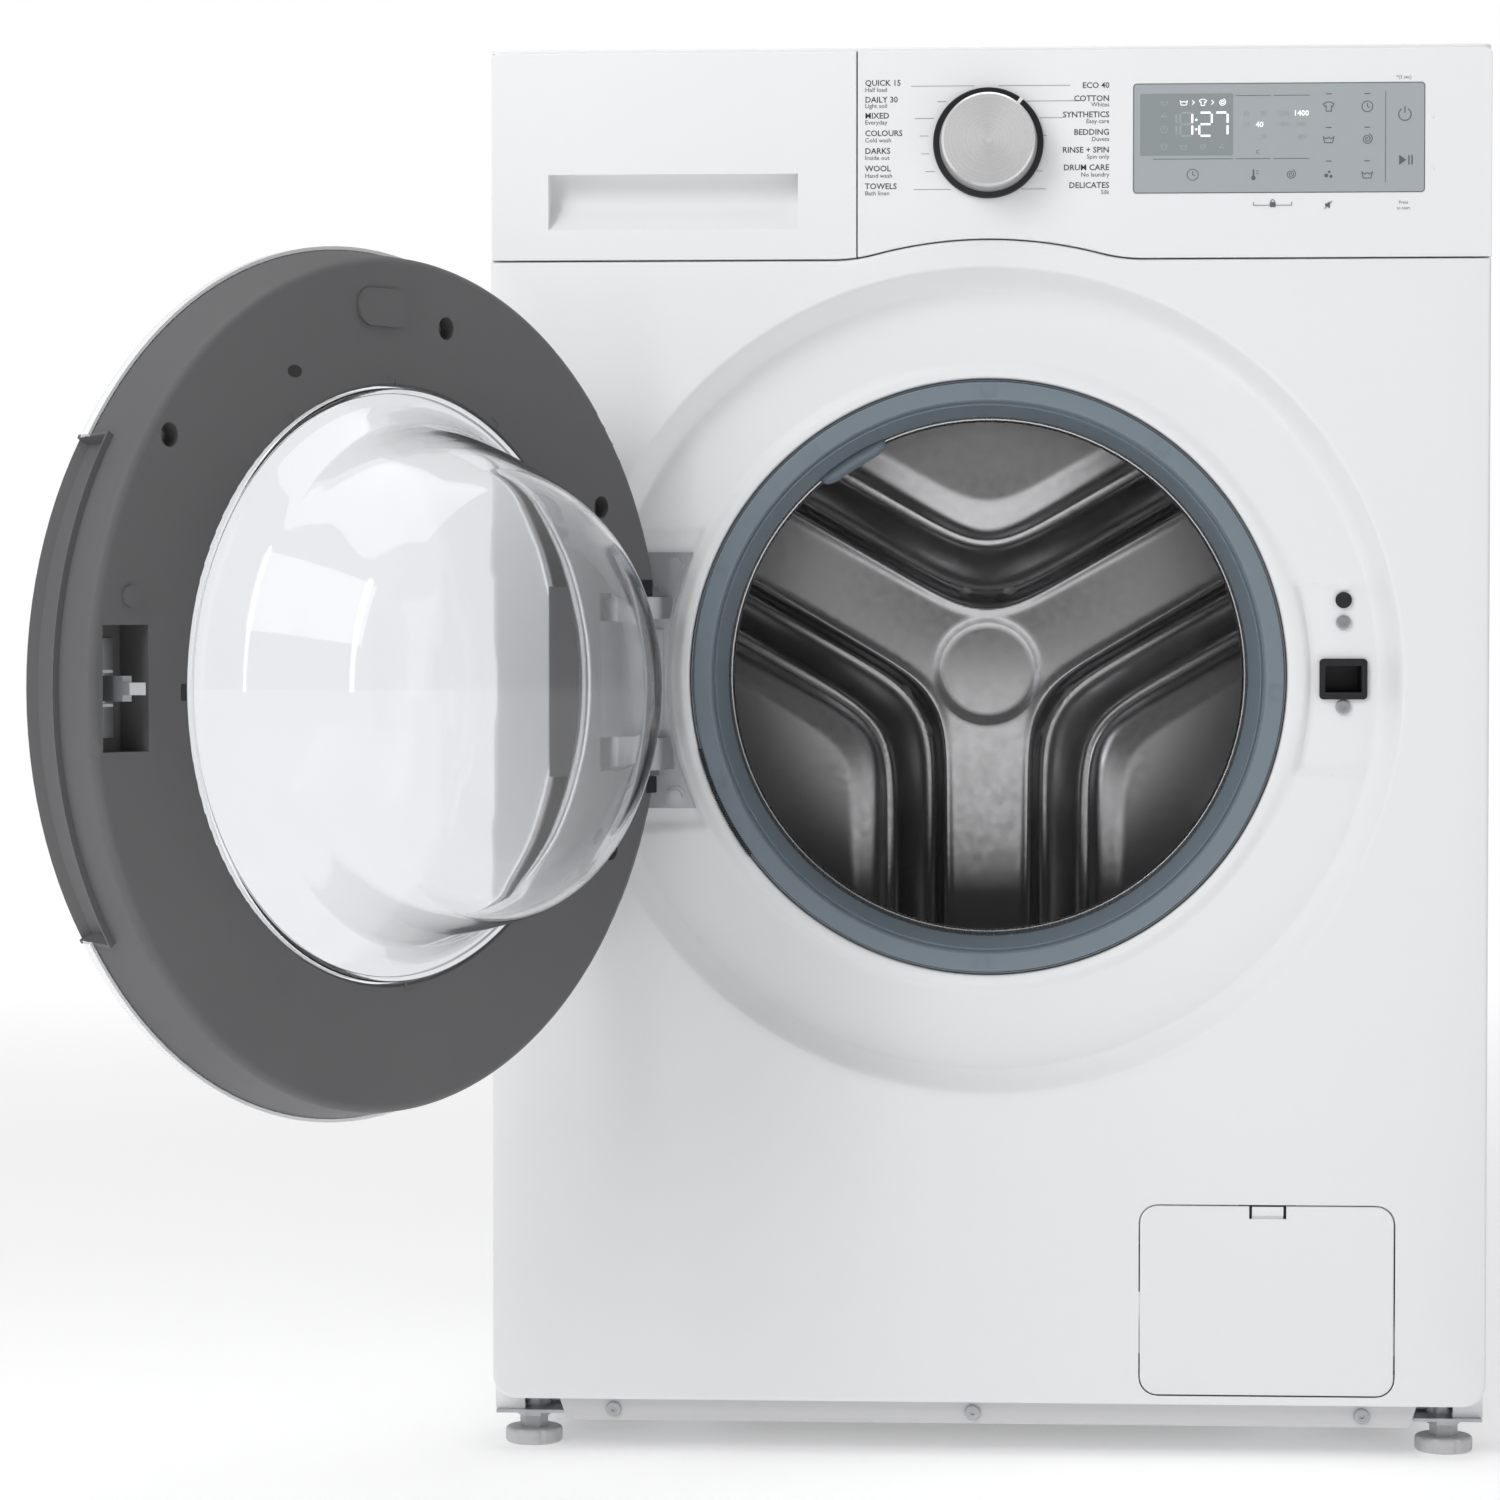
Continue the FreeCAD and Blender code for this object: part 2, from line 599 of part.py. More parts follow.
def knob_cap():
    """Metal knob: a tapered cup with a slightly dished face, on its shaft."""
    base_y, face_y = front_y - 3.5, front_y - knob_height
    cup = ring([(0, base_y), (knob_base_radius, base_y), (knob_base_radius, base_y - 2),
                (knob_face_radius + 1.2, face_y + 1.4), (knob_face_radius, face_y), (0,
                                                                                     face_y + 0.5)], knob_z)
    shaft = rod(knob_shaft_radius, (0, base_y, knob_z), (0, front_y + board_depth, knob_z))
    return joined(cup, shaft)


def kick_strip():
    """Lower strip between the feet, with slanted ends and a folded top."""
    y = front_y + kick_inset
    ends = [(-260.0, kick_z[1]), (259.5, kick_z[1]), (255.0, kick_z[0]), (-255.5, kick_z[0])]
    face = Part.Face(Part.makePolygon([V(x, y, z) for x, z in ends + ends[:1]]))
    strip = face.extrude(V(0, sheet, 0))
    strip = strip.fuse(box((-258, 257), (y, y + 24), (kick_z[1] - sheet, kick_z[1])))
    for x in kick_screw_x:
        strip = strip.cut(rod(1.9 + screw_clearance, (x, y - 1, 25.4), (x, y + 5, 25.4)))
    return strip.removeSplitter()


kick_screw_x = (-227.0, -8.4, 226.4)


def cabinet_screws():
    """Fasteners of the cabinet: kick strip, door lock and rear cover; the hinge's have hexagon flanges."""
    low = [screw(4.6, 2.2, 1.9, 6.0, (x, front_y + kick_inset, 25.4), (0, 1, 0)) for x in kick_screw_x]
    lock = [screw(4.6, 2.2, 1.9, 6.0, (x, pad_y, z), (0, 1, 0)) for x, z in lock_screw_places()]
    rear = [screw(4.6, 2.2, 1.9, 6.0, (x, plate_y + sheet, z), (0, -1, 0)) for x, z in rear_screw_places()]
    hinge = []
    for x, z in hinge_screw_places():
        head_y = pad_y - bracket_plate
        flange = rod(6.2, (x, head_y - 1.2, z), (x, head_y, z))
        head = hexagon(4.6, (x, head_y - 4.2, z), (x, head_y - 1.2, z))
        hinge.append(joined(flange, head, rod(2.6, (x, head_y, z), (x, head_y + 12.0, z))))
    return Part.makeCompound(low + lock + rear + hinge)


def base_frame():
    """Pressed base: a trough around the floor, plates for the feet and damper seats."""
    x, y, z = 296.0, (front_y + 36, plate_y - 4), (25.5, 52.0)
    width = 34.0
    trough = box((-x, x), y, z).cut(box((-x + width, x - width), (y[0] + width, y[1] - width), (0, 100)))
    groove = box((-x + 2, x - 2), (y[0] + 2, y[1] - 2), (z[0] + 2, 100)).cut(
        box((-x + width - 2, x - width + 2), (y[0] + width - 2, y[1] - width + 2), (0, 200)))
    trough = trough.cut(groove)
    plates = []
    for sx in (-1, 1):
        for sy in (-1, 1):
            middle = (sx * foot_x, sy * foot_y)
            plates.append(box((middle[0] - 20.5, middle[0] + 20.5), (middle[1] - 26, middle[1] + 26),
                              (22.0, 24.0)))
            plates.append(rod(foot_boss, (middle[0], middle[1], 22.0), (middle[0], middle[1], 30.0)))
    seats = [box((sx * damper_x - 24, sx * damper_x + 24), (y[0] + width - 2, y[1] - width + 2), (25.5, 27.5))
             for sx in (-1, 1)]
    ears = [box((sx * damper_x - 9, sx * damper_x + 9), (ey, ey + 3), (27.5, 62.0))
            for sx in (-1, 1) for ey in (-13.0, 10.0)]
    shelf = box((filter_x - 30, filter_x + 30), (y[0] + 2, y[0] + 135), (pump_shelf_z - 2, pump_shelf_z))
    frame = joined(trough, shelf, *plates, *seats, *ears)
    for sx in (-1, 1):
        for sy in (-1, 1):
            frame = frame.cut(rod(foot_thread_radius + thread_clearance, (sx * foot_x, sy * foot_y, 0),
                                  (sx * foot_x, sy * foot_y, 60)))
    return frame.removeSplitter()


def foot(sx, sy):
    """Levelling foot: a notched disc, a hexagon and a threaded stud."""
    x, y = sx * foot_x, sy * foot_y
    disc = rod(foot_radius, (x, y, 0), (x, y, foot_height))
    disc = disc.makeFillet(2.4, [e for e in disc.Edges if e.BoundBox.ZLength < 0.01])
    for k in range(8):
        a = math.radians(45 * k + 22.5)
        reach = foot_radius + 3.4
        disc = disc.cut(rod(4.2, (x + reach * math.cos(a), y + reach * math.sin(a), -1),
                            (x + reach * math.cos(a), y + reach * math.sin(a), foot_height + 1)))
    neck = hexagon(8.6, (x, y, foot_height), (x, y, foot_height + foot_neck))
    stud = rod(foot_thread_radius, (x, y, foot_height), (x, y, 48.0))
    return joined(disc, neck, stud)


def foot_nuts():
    """Lock nuts under the base plates."""
    low = foot_height + foot_neck + 0.3
    nuts = []
    for sx in (-1, 1):
        for sy in (-1, 1):
            x, y = sx * foot_x, sy * foot_y
            body = hexagon(nut_radius, (x, y, low), (x, y, low + nut_height))
            nuts.append(body.cut(rod(foot_thread_radius + thread_clearance, (x, y, low - 1),
                                     (x, y, low + nut_height + 1))))
    return Part.makeCompound(nuts)


# ---- detergent drawer ----
def drawer_front():
    """Front of the drawer with an undercut finger scoop; its back is hollow around the scoop."""
    side = 0.5
    thin = fascia_outline(front_y, -half_width + side, drawer_split_x - panel_gap / 2)
    body = eased(prism(thin, drawer_front_thickness))
    top_z, low_z = scoop_z[1], scoop_z[0]
    deep_y = front_y + scoop_depth
    outline = [Part.LineSegment(V(0, front_y - 1, top_z), V(0, front_y + 4.0, top_z)).toShape(),
               Part.LineSegment(V(0, front_y + 4.0, top_z), V(0, front_y + 5.5, top_z + 6)).toShape(),
               Part.LineSegment(V(0, front_y + 5.5, top_z + 6), V(0, deep_y - 1.5, top_z + 6)).toShape(),
               Part.Arc(V(0, deep_y - 1.5, top_z + 6), V(0, deep_y - 3.5, low_z + 14),
                        V(0, front_y - 1, low_z)).toShape(),
               Part.LineSegment(V(0, front_y - 1, low_z), V(0, front_y - 1, top_z)).toShape()]
    scoop = Part.Face(Part.Wire(outline)).extrude(V(scoop_x[1] - scoop_x[0], 0, 0))
    scoop.translate(V(scoop_x[0], 0, 0))
    body = body.cut(scoop)
    pocket_y = (front_y + 4.0, front_y + drawer_front_thickness + 1)
    above = box((-half_width + side + 3, drawer_split_x - 4), pocket_y, (top_z + 9, fascia_top_z - 3))
    return body.cut(above).removeSplitter()


def drawer_tray():
    """Three-compartment tray: main wash, prewash and softener."""
    y = (front_y + drawer_front_thickness, front_y + drawer_front_thickness + tray_length)
    wall = 2.0
    body = box(tray_x, y, tray_z)
    widths = [62.0, 48.0, 48.0]
    low_x = tray_x[0] + wall
    for k, width in enumerate(widths):
        depth_z = tray_z[0] + (wall if k < 2 else wall + 6)
        high_x = min(low_x + width, tray_x[1] - wall)
        body = body.cut(box((low_x, high_x), (y[0] + wall, y[1] - wall - (0 if k else 0)),
                            (depth_z, tray_z[1] + 1)))
        low_x = high_x + wall
    spout = box((tray_x[0] + 12, tray_x[0] + 50), (y[1] - 12, y[1] - wall - 1),
                (tray_z[0] - 1, tray_z[0] + wall + 1))
    siphon_x = tray_x[1] - wall - 24
    siphon = rod(7.0, (siphon_x, y[0] + 60, tray_z[0] + 3), (siphon_x, y[0] + 60, tray_z[0] + 38))
    return joined(body.cut(spout), siphon)


def dispenser_housing():
    """Box around the tray, with a water lid on top and an outlet below."""
    gap = housing_gap
    x = (tray_x[0] - gap - housing_wall, tray_x[1] + gap + housing_wall)
    z = (tray_z[0] - gap - housing_wall, tray_z[1] + gap + housing_wall)
    y = (fascia_back_y - 16.0, front_y + drawer_front_thickness + tray_length + 8)
    body = box(x, y, z)
    inner = box((tray_x[0] - gap, tray_x[1] + gap), (y[0] - 1, y[1] - housing_wall),
                (tray_z[0] - gap, tray_z[1] + gap))
    outlet_y = 20.0
    spigot = rod(16.0, (-190, outlet_y, z[0] - 12), (-190, outlet_y, z[0] + 1))
    bore = rod(13.0, (-190, outlet_y, z[0] - 13), (-190, outlet_y, z[0] + housing_wall + 1))
    feed = rod(8.0, (-150, y[1] - 1, z[1] - 10), (-150, y[1] + 16, z[1] - 10))
    feed_bore = rod(5.5, (-150, y[1] - housing_wall - 1, z[1] - 10), (-150, y[1] + 17, z[1] - 10))
    return joined(body, spigot, feed).cut(inner).cut(bore).cut(feed_bore)


# ---- door, in its closed place, then opened ----
def door_ring_point(radius, height):
    """Profile point: radius, and height from the door's inner face towards the user."""
    return radius, flat_y - height


def door_inner_ring():
    """Grey inner ring: a shallow tray with pockets for the hinge and the latch."""
    p = door_ring_point
    lip = glass_radius + 1.2
    body = sheet_ring([p(lip, 9.0), p(lip, 0), p(door_flat_radius, 0),
                       p(door_radius - 2.3, door_rim_height - 0.2)],
                      [1.5, 5.0], -door_wall, door_z)
    cover = rod(door_radius - 4.8, (0, flat_y, door_z), (0, flat_y - door_rim_height + 0.2, door_z))
    pocket_x = (-door_radius - 5, -176.0)
    half = pocket_half_height
    deep = 36.0
    walls = box((pocket_x[0], pocket_x[1] + door_wall), (flat_y - deep - door_wall, flat_y),
                (door_z - half - door_wall, door_z + half + door_wall))
    latch_walls = box((latch_x - 19.5, latch_x + 18.0), (flat_y - 23.5, flat_y),
                      (latch_z - 35.5, latch_z + 35.5))
    body = joined(body, walls.common(rod(door_radius - 6.5, (0, flat_y + 1, door_z), (0, flat_y - 60,
                                                                                      door_z))),
                  latch_walls.common(cover))
    body = body.cut(box(pocket_x, (flat_y - deep, flat_y + 1), (door_z - half, door_z + half)))
    body = body.cut(box((latch_x - 17.0, latch_x + 16.0), (flat_y - 21.0, flat_y + 1),
                        (latch_z - 33.0, latch_z + 33.0)))
    for x, z in door_screw_places():
        cup = rod(8.5, (x, flat_y - 0.5, z), (x, flat_y - 12, z)).cut(rod(6.5, (x, flat_y, z), (x,
                                                                                                flat_y - 9.5, z)))
        body = body.cut(rod(6.5, (x, flat_y + 1, z), (x, flat_y - 4, z))).fuse(cup)
        body = body.cut(rod(1.9 + screw_clearance, (x, flat_y, z), (x, flat_y - 20, z)))
    bump_z = door_z + 48.8
    bump = rod(5.6, (latch_x - 4, flat_y, bump_z), (latch_x - 4, flat_y + 1.6, bump_z))
    capsule = rounded_block((-6.0, 34.0), (door_z + 199, door_z + 220), 10.0, (flat_y - 0.1, flat_y + 1.8))
    return joined(body.cut(grip_air()), bump, capsule, grip_skin())


grip_angle = 33.0              # half of the finger grip's arc about the latch side


def grip_sector(points, angle):
    """A ring's sector about the latch side, for the finger grip behind the rim's lip."""
    solid = ring(points, door_z)
    reach = door_radius + 40
    spread = reach * math.tan(math.radians(angle))
    corners = [V(0, flat_y - 100, door_z), V(reach, flat_y - 100, door_z - spread),
               V(reach, flat_y - 100, door_z + spread), V(0, flat_y - 100, door_z)]
    return solid.common(Part.Face(Part.makePolygon(corners)).extrude(V(0, 120, 0)))


def grip_air():
    p = door_ring_point
    return grip_sector([p(door_radius + 5, 18), p(door_radius - 5.5, 24), p(door_radius - 9, 30),
                        p(door_radius - 9, 40),
                        p(door_radius - 5, door_thickness - 5.5), p(door_radius + 5, door_thickness - 5.5)],
                       grip_angle)


def grip_skin():
    p = door_ring_point
    wall = 1.8
    outer = grip_sector([p(door_radius - 0.3, 20), p(door_radius - 5.5 - wall, 20),
                         p(door_radius - 9 - wall, 29),
                         p(door_radius - 9 - wall, 41), p(door_radius - 6 - wall, door_thickness - 5.5),
                         p(door_radius - 3, door_thickness - 5.5)], grip_angle + 0.5)
    return outer.cut(grip_air())


def door_screw_places():
    """Places of the door's case screws, each from its angle and its distance from the centre."""
    places = []
    for angle, reach in ((101.2, 204.6), (36.6, 224.0), (149.9, 205.7), (208.0, 211.0)):
        turn = math.radians(angle)
        places.append((reach * math.cos(turn), door_z + reach * math.sin(turn)))
    return places


def door_screws():
    return Part.makeCompound([opened(screw(4.0, 2.2, 1.9, 9.0, (x, flat_y - 9.5, z), (0, -1, 0)))
                              for x, z in door_screw_places()])


def door_outer_ring():
    """White outer ring, crowned, around the window."""
    p = door_ring_point
    path = [p(door_radius, door_rim_height), p(door_radius, door_rim_height + 6),
            p(door_radius - 14, door_thickness - 1.5), p(215, door_thickness), p(door_window_radius + 1,
                                                                                 45.5),
            p(door_window_radius + 1, 41.0)]
    shell = sheet_ring(path, [5.0, 9.0, 30.0, 1.5], -door_wall + 0.6, door_z)
    return shell.cut(grip_air()).cut(grip_skin()).removeSplitter()


def door_cover():
    """Clear outer window, slightly crowned."""
    p = door_ring_point
    r = door_window_radius
    path = [p(r, 43.5), p(r * 0.7, 45.8), p(r * 0.3, 47.0), p(0, 47.0)]
    return sheet_ring(path, [300.0, 300.0], 3.0, door_z)


def door_glass():
    """Glass bowl that reaches into the drum's mouth."""
    p = door_ring_point
    path = [p(glass_radius, 6.0), p(glass_radius, -1.5), p(glass_radius - 8, -3.0), p(147, -15), p(139, -36),
            p(126, -88), p(98, -glass_depth + 3), p(66, -glass_depth), p(0, -glass_depth)]
    return sheet_ring(path, [1.5, 6.0, 14.0, 40.0, 24.0, 30.0, 40.0], glass_wall, door_z)


def hinge_arm(z, half_height):
    """Curved arm of the fixed bracket, from its plate to the hinge pin."""
    path = [(-200.0, pad_y - 2.5), (-194.5, pad_y - 19.0), (-204.0, hinge_y + 1.0), (hinge_x, hinge_y + 1.0)]
    face = strip_face(path, [8.0, 12.0], 6.0, lambda q: V(q[0], q[1], z - half_height))
    arm = face.extrude(V(0, 0, 2 * half_height))
    eye = rod(6.5, (hinge_x, hinge_y, z - half_height), (hinge_x, hinge_y, z + half_height))
    return arm.fuse(eye)


arm_levels = ((44.0, 6.5), (-44.0, 9.5))     # height from the door's centre, and half height


def hinge_bracket():
    """Fixed bracket: a plate screwed into the recess, with two arms that hold the pin."""
    floor_y = pad_y
    plate = box((-222.0, -170.0), (floor_y - bracket_plate, floor_y), (door_z - 78, door_z + 78))
    around_rim = rod(neck_radius + rim_step + 0.4, (0, floor_y - 60, drum_z), (0, floor_y + 5, drum_z))
    arms = [hinge_arm(door_z + level, half) for level, half in arm_levels]
    pad = box((-215, -197.0), (floor_y - 6.0, floor_y - 2.5), (door_z - 31, door_z + 31))
    body = joined(plate, pad, *arms).cut(around_rim)
    pin_hole = rod(hinge_pin_radius + shaft_clearance, (hinge_x, hinge_y, door_z - 80),
                   (hinge_x, hinge_y, door_z + 80))
    body = body.cut(pin_hole)
    for x, z in hinge_screw_places():
        body = body.cut(rod(2.6 + screw_clearance, (x, front_y, z), (x, front_y + 60, z)))
    return body.removeSplitter()


def hinge_pin():
    """Steel pin in the door's pocket, with the block that carries it between the arms."""
    half = pocket_half_height
    gap = 0.4
    pin = rod(hinge_pin_radius, (hinge_x, hinge_y, door_z - half), (hinge_x, hinge_y, door_z + half))
    upper = door_z + arm_levels[0][0] - arm_levels[0][1] - gap
    lower = door_z + arm_levels[1][0] + arm_levels[1][1] + gap
    block = box((hinge_x - 5.5, hinge_x + 30.0), (flat_y - 35.8, hinge_y + 5.5), (lower, upper))
    return opened(joined(pin, block))


def door_lock():
    """Door lock behind the recess, with the framed slot that the hook enters."""
    floor_y = pad_y
    frame = rounded_block((latch_x - 12.4, latch_x + 16.4), (latch_z - 12.3, latch_z + 12.4), 2.5,
                          (floor_y - 2.5, floor_y))
    body = box((latch_x - 11.5, latch_x + 13.5), (floor_y, floor_y + 34), (latch_z - 9.5, latch_z + 9.5))
    case = box((latch_x - 11.5, latch_x + 13.5), (floor_y + sheet + 1, floor_y + 34),
               (latch_z - 12.5, latch_z + 42))
    slot = box((latch_x - 9.0, latch_x + 13.0), (floor_y - 5, floor_y + 28), (latch_z - 8.0, latch_z + 8.0))
    lock = joined(frame, body, case).cut(slot)
    for x, z in lock_screw_places():
        lock = lock.cut(rod(1.9 + screw_clearance, (x, floor_y - 4, z), (x, floor_y + 14, z)))
    room = screw(4.7, 2.6, 1.0, 1.0, (latch_x + 2, floor_y, latch_z - 17.0), (0, 1, 0))
    return lock.cut(room).removeSplitter()


def door_buffer():
    """Rubber stop beside the lock."""
    floor_y = pad_y
    at = (latch_x + 2, door_z + 48.8)
    head = rod(4.9, (at[0], floor_y - 2.0, at[1]), (at[0], floor_y, at[1]))
    return joined(head, rod(3.5, (at[0], floor_y - 1, at[1]), (at[0], floor_y + 2.0, at[1])))


def latch_plate():
    """Plate in the door's pocket that carries the hook's pin, with its two screws."""
    y = flat_y - 21.0
    x = (latch_x - 10.0, latch_x + 15.5)
    plate = box(x, (y, y + 2.0), (latch_z - 26.0, latch_z + 26.0))
    ears = [box((latch_x - 2, latch_x + 9), (y + 2.0, y + 10.0), (z, z + 1.6))
            for z in (latch_z - 9.6, latch_z + 8.0)]
    pin = rod(1.6, (latch_x + 4, y + 6.5, latch_z - 9.5), (latch_x + 4, y + 6.5, latch_z + 9.5))
    heads = [rod(4.4, (latch_x + 3.5, y + 2.0, z), (latch_x + 3.5, y + 4.0, z))
             .cut(rod(1.4, (latch_x + 3.5, y + 3.0, z), (latch_x + 3.5, y + 5.0, z)))
             for z in (latch_z - 17.5, latch_z + 17.5)]
    return opened(joined(plate, pin, *ears, *heads))


latch_pin_x = latch_x + 4
latch_pin_y = flat_y - 21.0 + 6.5


def latch_hook():
    """Cast hook that turns on its pin: a forked root, a stem and a barbed tip."""
    z = (latch_z - 7.6, latch_z + 7.6)
    root = rod(3.4, (latch_pin_x, latch_pin_y, z[0]), (latch_pin_x, latch_pin_y, z[1]))
    stem = box((latch_pin_x - 3.2, latch_pin_x + 3.2), (latch_pin_y, latch_pin_y + 20.0),
               (latch_z - 6.6, latch_z + 6.6))
    barb_low = latch_pin_y + 19.0
    barb = [(latch_pin_x - 3.2, barb_low), (latch_pin_x + 3.2, barb_low), (latch_pin_x + 3.2, barb_low + 6),
            (latch_pin_x - 1.0, barb_low + 13.5), (latch_pin_x - 7.0, barb_low + 7.0), (latch_pin_x - 3.2,
                                                                                        barb_low + 3.5)]
    face = Part.Face(Part.makePolygon([V(x, y, latch_z - 3.2) for x, y in barb + barb[:1]]))
    body = joined(root, stem, face.extrude(V(0, 0, 6.4)))
    return opened(body.cut(rod(1.65, (latch_pin_x, latch_pin_y, z[0] - 1),
                               (latch_pin_x, latch_pin_y, z[1] + 1))))


# ---- gasket ----
def gasket():
    """Rubber bellows from the front panel's neck to the tub's mouth, with a spray nozzle."""
    y = front_y + gasket_depth
    lip_outer = gasket_outer_radius
    path = [(lip_outer, y + 16.0), (lip_outer, y), (168.5, y), (166.5, y + 3.0), (165.0, y + 1.2),
            (gasket_inner_radius, front_y + 45.0), (gasket_inner_radius + 1.5, front_y + 52.0),
            (tub_mouth_radius - 1.9, front_y + 56.0), (tub_mouth_radius - 1.9, front_y + tub_front_depth - 2)]
    body = sheet_ring(path, [1.5, 0.8, 0.6, 0.8, 3.0, 2.5, 2.0], -1.6, drum_z)
    a = math.radians(122.0)
    middle = (gasket_inner_radius * math.cos(a), drum_z + gasket_inner_radius * math.sin(a))
    nozzle = box((-24, 24), (front_y + 42, front_y + 60), (-7.0, 5.0))
    nozzle.rotate(V(0, 0, 0), V(0, 1, 0), -32.0)
    nozzle.translate(V(middle[0], 0, middle[1]))
    return body.fuse(nozzle.common(rod(165.0, (0, front_y, drum_z),
                                       (0, front_y + 90, drum_z)))).removeSplitter()


def gasket_clamp():
    """Wire band that holds the gasket's outer lip in the front panel's neck."""
    y = front_y + gasket_depth + 6.0
    hoop = Part.makeTorus(gasket_outer_radius + 0.95, 0.85, V(0, y, drum_z), V(0, 1, 0))
    return hoop


# ---- tub, drum and drive ----
def tub_front():
    """Front half of the tub with the mouth that the gasket grips."""
    y0, y1 = tub_front_y, tub_split_y - 0.2
    shell = ring([(tub_mouth_radius, y0 - 14), (tub_mouth_radius + tub_wall, y0 - 14),
                  (tub_mouth_radius + tub_wall, y0),
                  (tub_outer - 16, y0 + 4), (tub_outer, y0 + 22), (tub_outer,
                                                                   y1 - 8), (tub_outer + tub_flange, y1 - 8),
                  (tub_outer + tub_flange, y1), (tub_inner, y1), (tub_inner, y0 + 24),
                  (tub_inner - 16, y0 + 8), (tub_mouth_radius, y0 + 4)], drum_z)
    return shell


sump_x = (-62.0, 30.0)
sump_low_z = 186.0
port_at = (-190.0, 20.0)


def tub_rear():
    """Rear half: wall, ribs, bearing hub, sump, ports and the lugs of the suspension."""
    y0, y1 = tub_split_y, tub_rear_y
    hub = bearing_radius + 9.0
    shell = ring([(tub_inner, y0), (tub_outer + tub_flange, y0), (tub_outer + tub_flange, y0 + 8),
                  (tub_outer, y0 + 8),
                  (tub_outer, y1), (hub, y1 + 6), (hub, y1 + 34), (bearing_radius, y1 + 34),
                  (bearing_radius, y1 + 34 - bearing_width), (bearing_radius - 5, y1 + 34 - bearing_width),
                  (bearing_radius - 5, y1 - 8 + bearing_width), (bearing_radius, y1 - 8 + bearing_width),
                  (bearing_radius, y1 - 8), (hub - 4, y1 - 8), (hub - 4, y1 - 4), (tub_inner,
                                                                                   y1 - 4)], drum_z)
    ribs = []
    for k in range(12):
        a = 30.0 * k + 15
        rib = box((hub - 1, tub_outer - 4), (y1 - 1, y1 + 9), (-1.5, 1.5))
        rib.rotate(V(0, 0, 0), V(0, 1, 0), a)
        rib.translate(V(0, 0, drum_z))
        ribs.append(rib)
    inside = rod(tub_inner, (0, y0 - 1, drum_z), (0, y1 - 4, drum_z))
    sump = box(sump_x, (y0 + 10, y1 - 30), (sump_low_z, drum_z - 200)).cut(
        box((sump_x[0] + 3, sump_x[1] - 3), (y0 + 13, y1 - 33), (sump_low_z + 3, drum_z)))
    sump = sump.cut(rod(tub_outer - 1, (0, y0, drum_z), (0, y1, drum_z)))
    drain = rod(17.0, (-20, y0 + 40, sump_low_z - 12), (-20, y0 + 40, sump_low_z + 1))
    drain_bore = rod(14.0, (-20, y0 + 40, sump_low_z - 13), (-20, y0 + 40, sump_low_z + 10))
    port_z = drum_z + math.sqrt(tub_inner ** 2 - port_at[0] ** 2)
    port = rod(16.0, (port_at[0], port_at[1], port_z - 6), (port_at[0], port_at[1], port_z + 26)).cut(inside)
    port_bore = rod(13.0, (port_at[0], port_at[1], port_z - 30), (port_at[0], port_at[1], port_z + 27))
    lugs = []
    for side in (-1, 1):
        lugs.append(box(sorted((side * 230.0, side * (spring_x + 14))), (spring_y - 8, spring_y + 8),
                        (spring_z[0] - 14, spring_z[0] - 2)))
        lug_z = drum_z - math.sqrt(tub_outer ** 2 - (damper_x - 12) ** 2)
        lugs.append(box((side * damper_x - 12, side * damper_x + 12), (-9.0, 9.0), (lug_z - 26, lug_z + 25)))
    hangers = [box((motor_x - 58, motor_x + 58), (y, y + 8), (motor_z + 30, 245.0)).cut(
        rod(motor_radius, (motor_x, y - 5, motor_z), (motor_x, y + 15, motor_z))) for y in (70.0, 138.0)]
    solid_tub = rod(tub_outer - 0.5, (0, y0 - 10, drum_z), (0, y1, drum_z))
    extras = [piece.cut(solid_tub) for piece in lugs + hangers]
    body = joined(shell, *ribs, sump, drain, port, *extras).cut(drain_bore).cut(port_bore)
    sump_hole = box((sump_x[0] + 3, sump_x[1] - 3), (y0 + 13, y1 - 33), (sump_low_z + 3, drum_z - 220))
    heater_z = sump_low_z + 14
    heater_hole = box((-44, 12), (y1 - 36, y1 - 28), (heater_z - 10, heater_z + 10))
    return body.cut(sump_hole).cut(heater_hole).removeSplitter()


def bearings():
    """The two ball bearings in the hub: each an outer and an inner race joined by a shield."""
    pieces = []
    for y in (tub_rear_y - 8, tub_rear_y + 34 - bearing_width):
        inner = shaft_radius + shaft_clearance
        pieces.append(ring([(inner, y), (inner + 4, y), (inner + 4, y + 2), (bearing_radius - 4, y + 2),
                            (bearing_radius - 4, y), (bearing_radius, y), (bearing_radius, y + bearing_width),
                            (bearing_radius - 4, y + bearing_width), (bearing_radius - 4,
                                                                      y + bearing_width - 2),
                            (inner + 4, y + bearing_width - 2), (inner + 4, y + bearing_width),
                            (inner, y + bearing_width)], drum_z))
    return Part.makeCompound(pieces)


def heater():
    """Looped heating element in the sump, through its rear flange."""
    y0, y1 = tub_split_y + 18, tub_rear_y - 34
    z = sump_low_z + 14
    rods = [rod(3.2, (x, y0 + 20, z), (x, y1 + 16, z)) for x in (-34.0, 2.0)]
    block = box((-43.5, 11.5), (y1, y1 + 7), (z - 9.5, z + 9.5))
    bend = Part.makeTorus(18.0, 3.2, V(-16, y0 + 20, z), UP)
    bend = bend.common(box((-60, 30), (y0 - 20, y0 + 20), (z - 10, z + 10)))
    return joined(bend, block, *rods)


def counterweight():
    """Concrete block that sits on the tub."""
    body = box((-82, 168), (-150.0, tub_split_y - 10.0), (drum_z + 150, 790.0))
    body = body.makeFillet(12.0,
                           [e for e in body.Edges if e.BoundBox.ZMax > 789.9 and e.BoundBox.XLength < 1])
    return body.cut(rod(tub_outer + 0.02, (0, -200, drum_z), (0, 60, drum_z)))


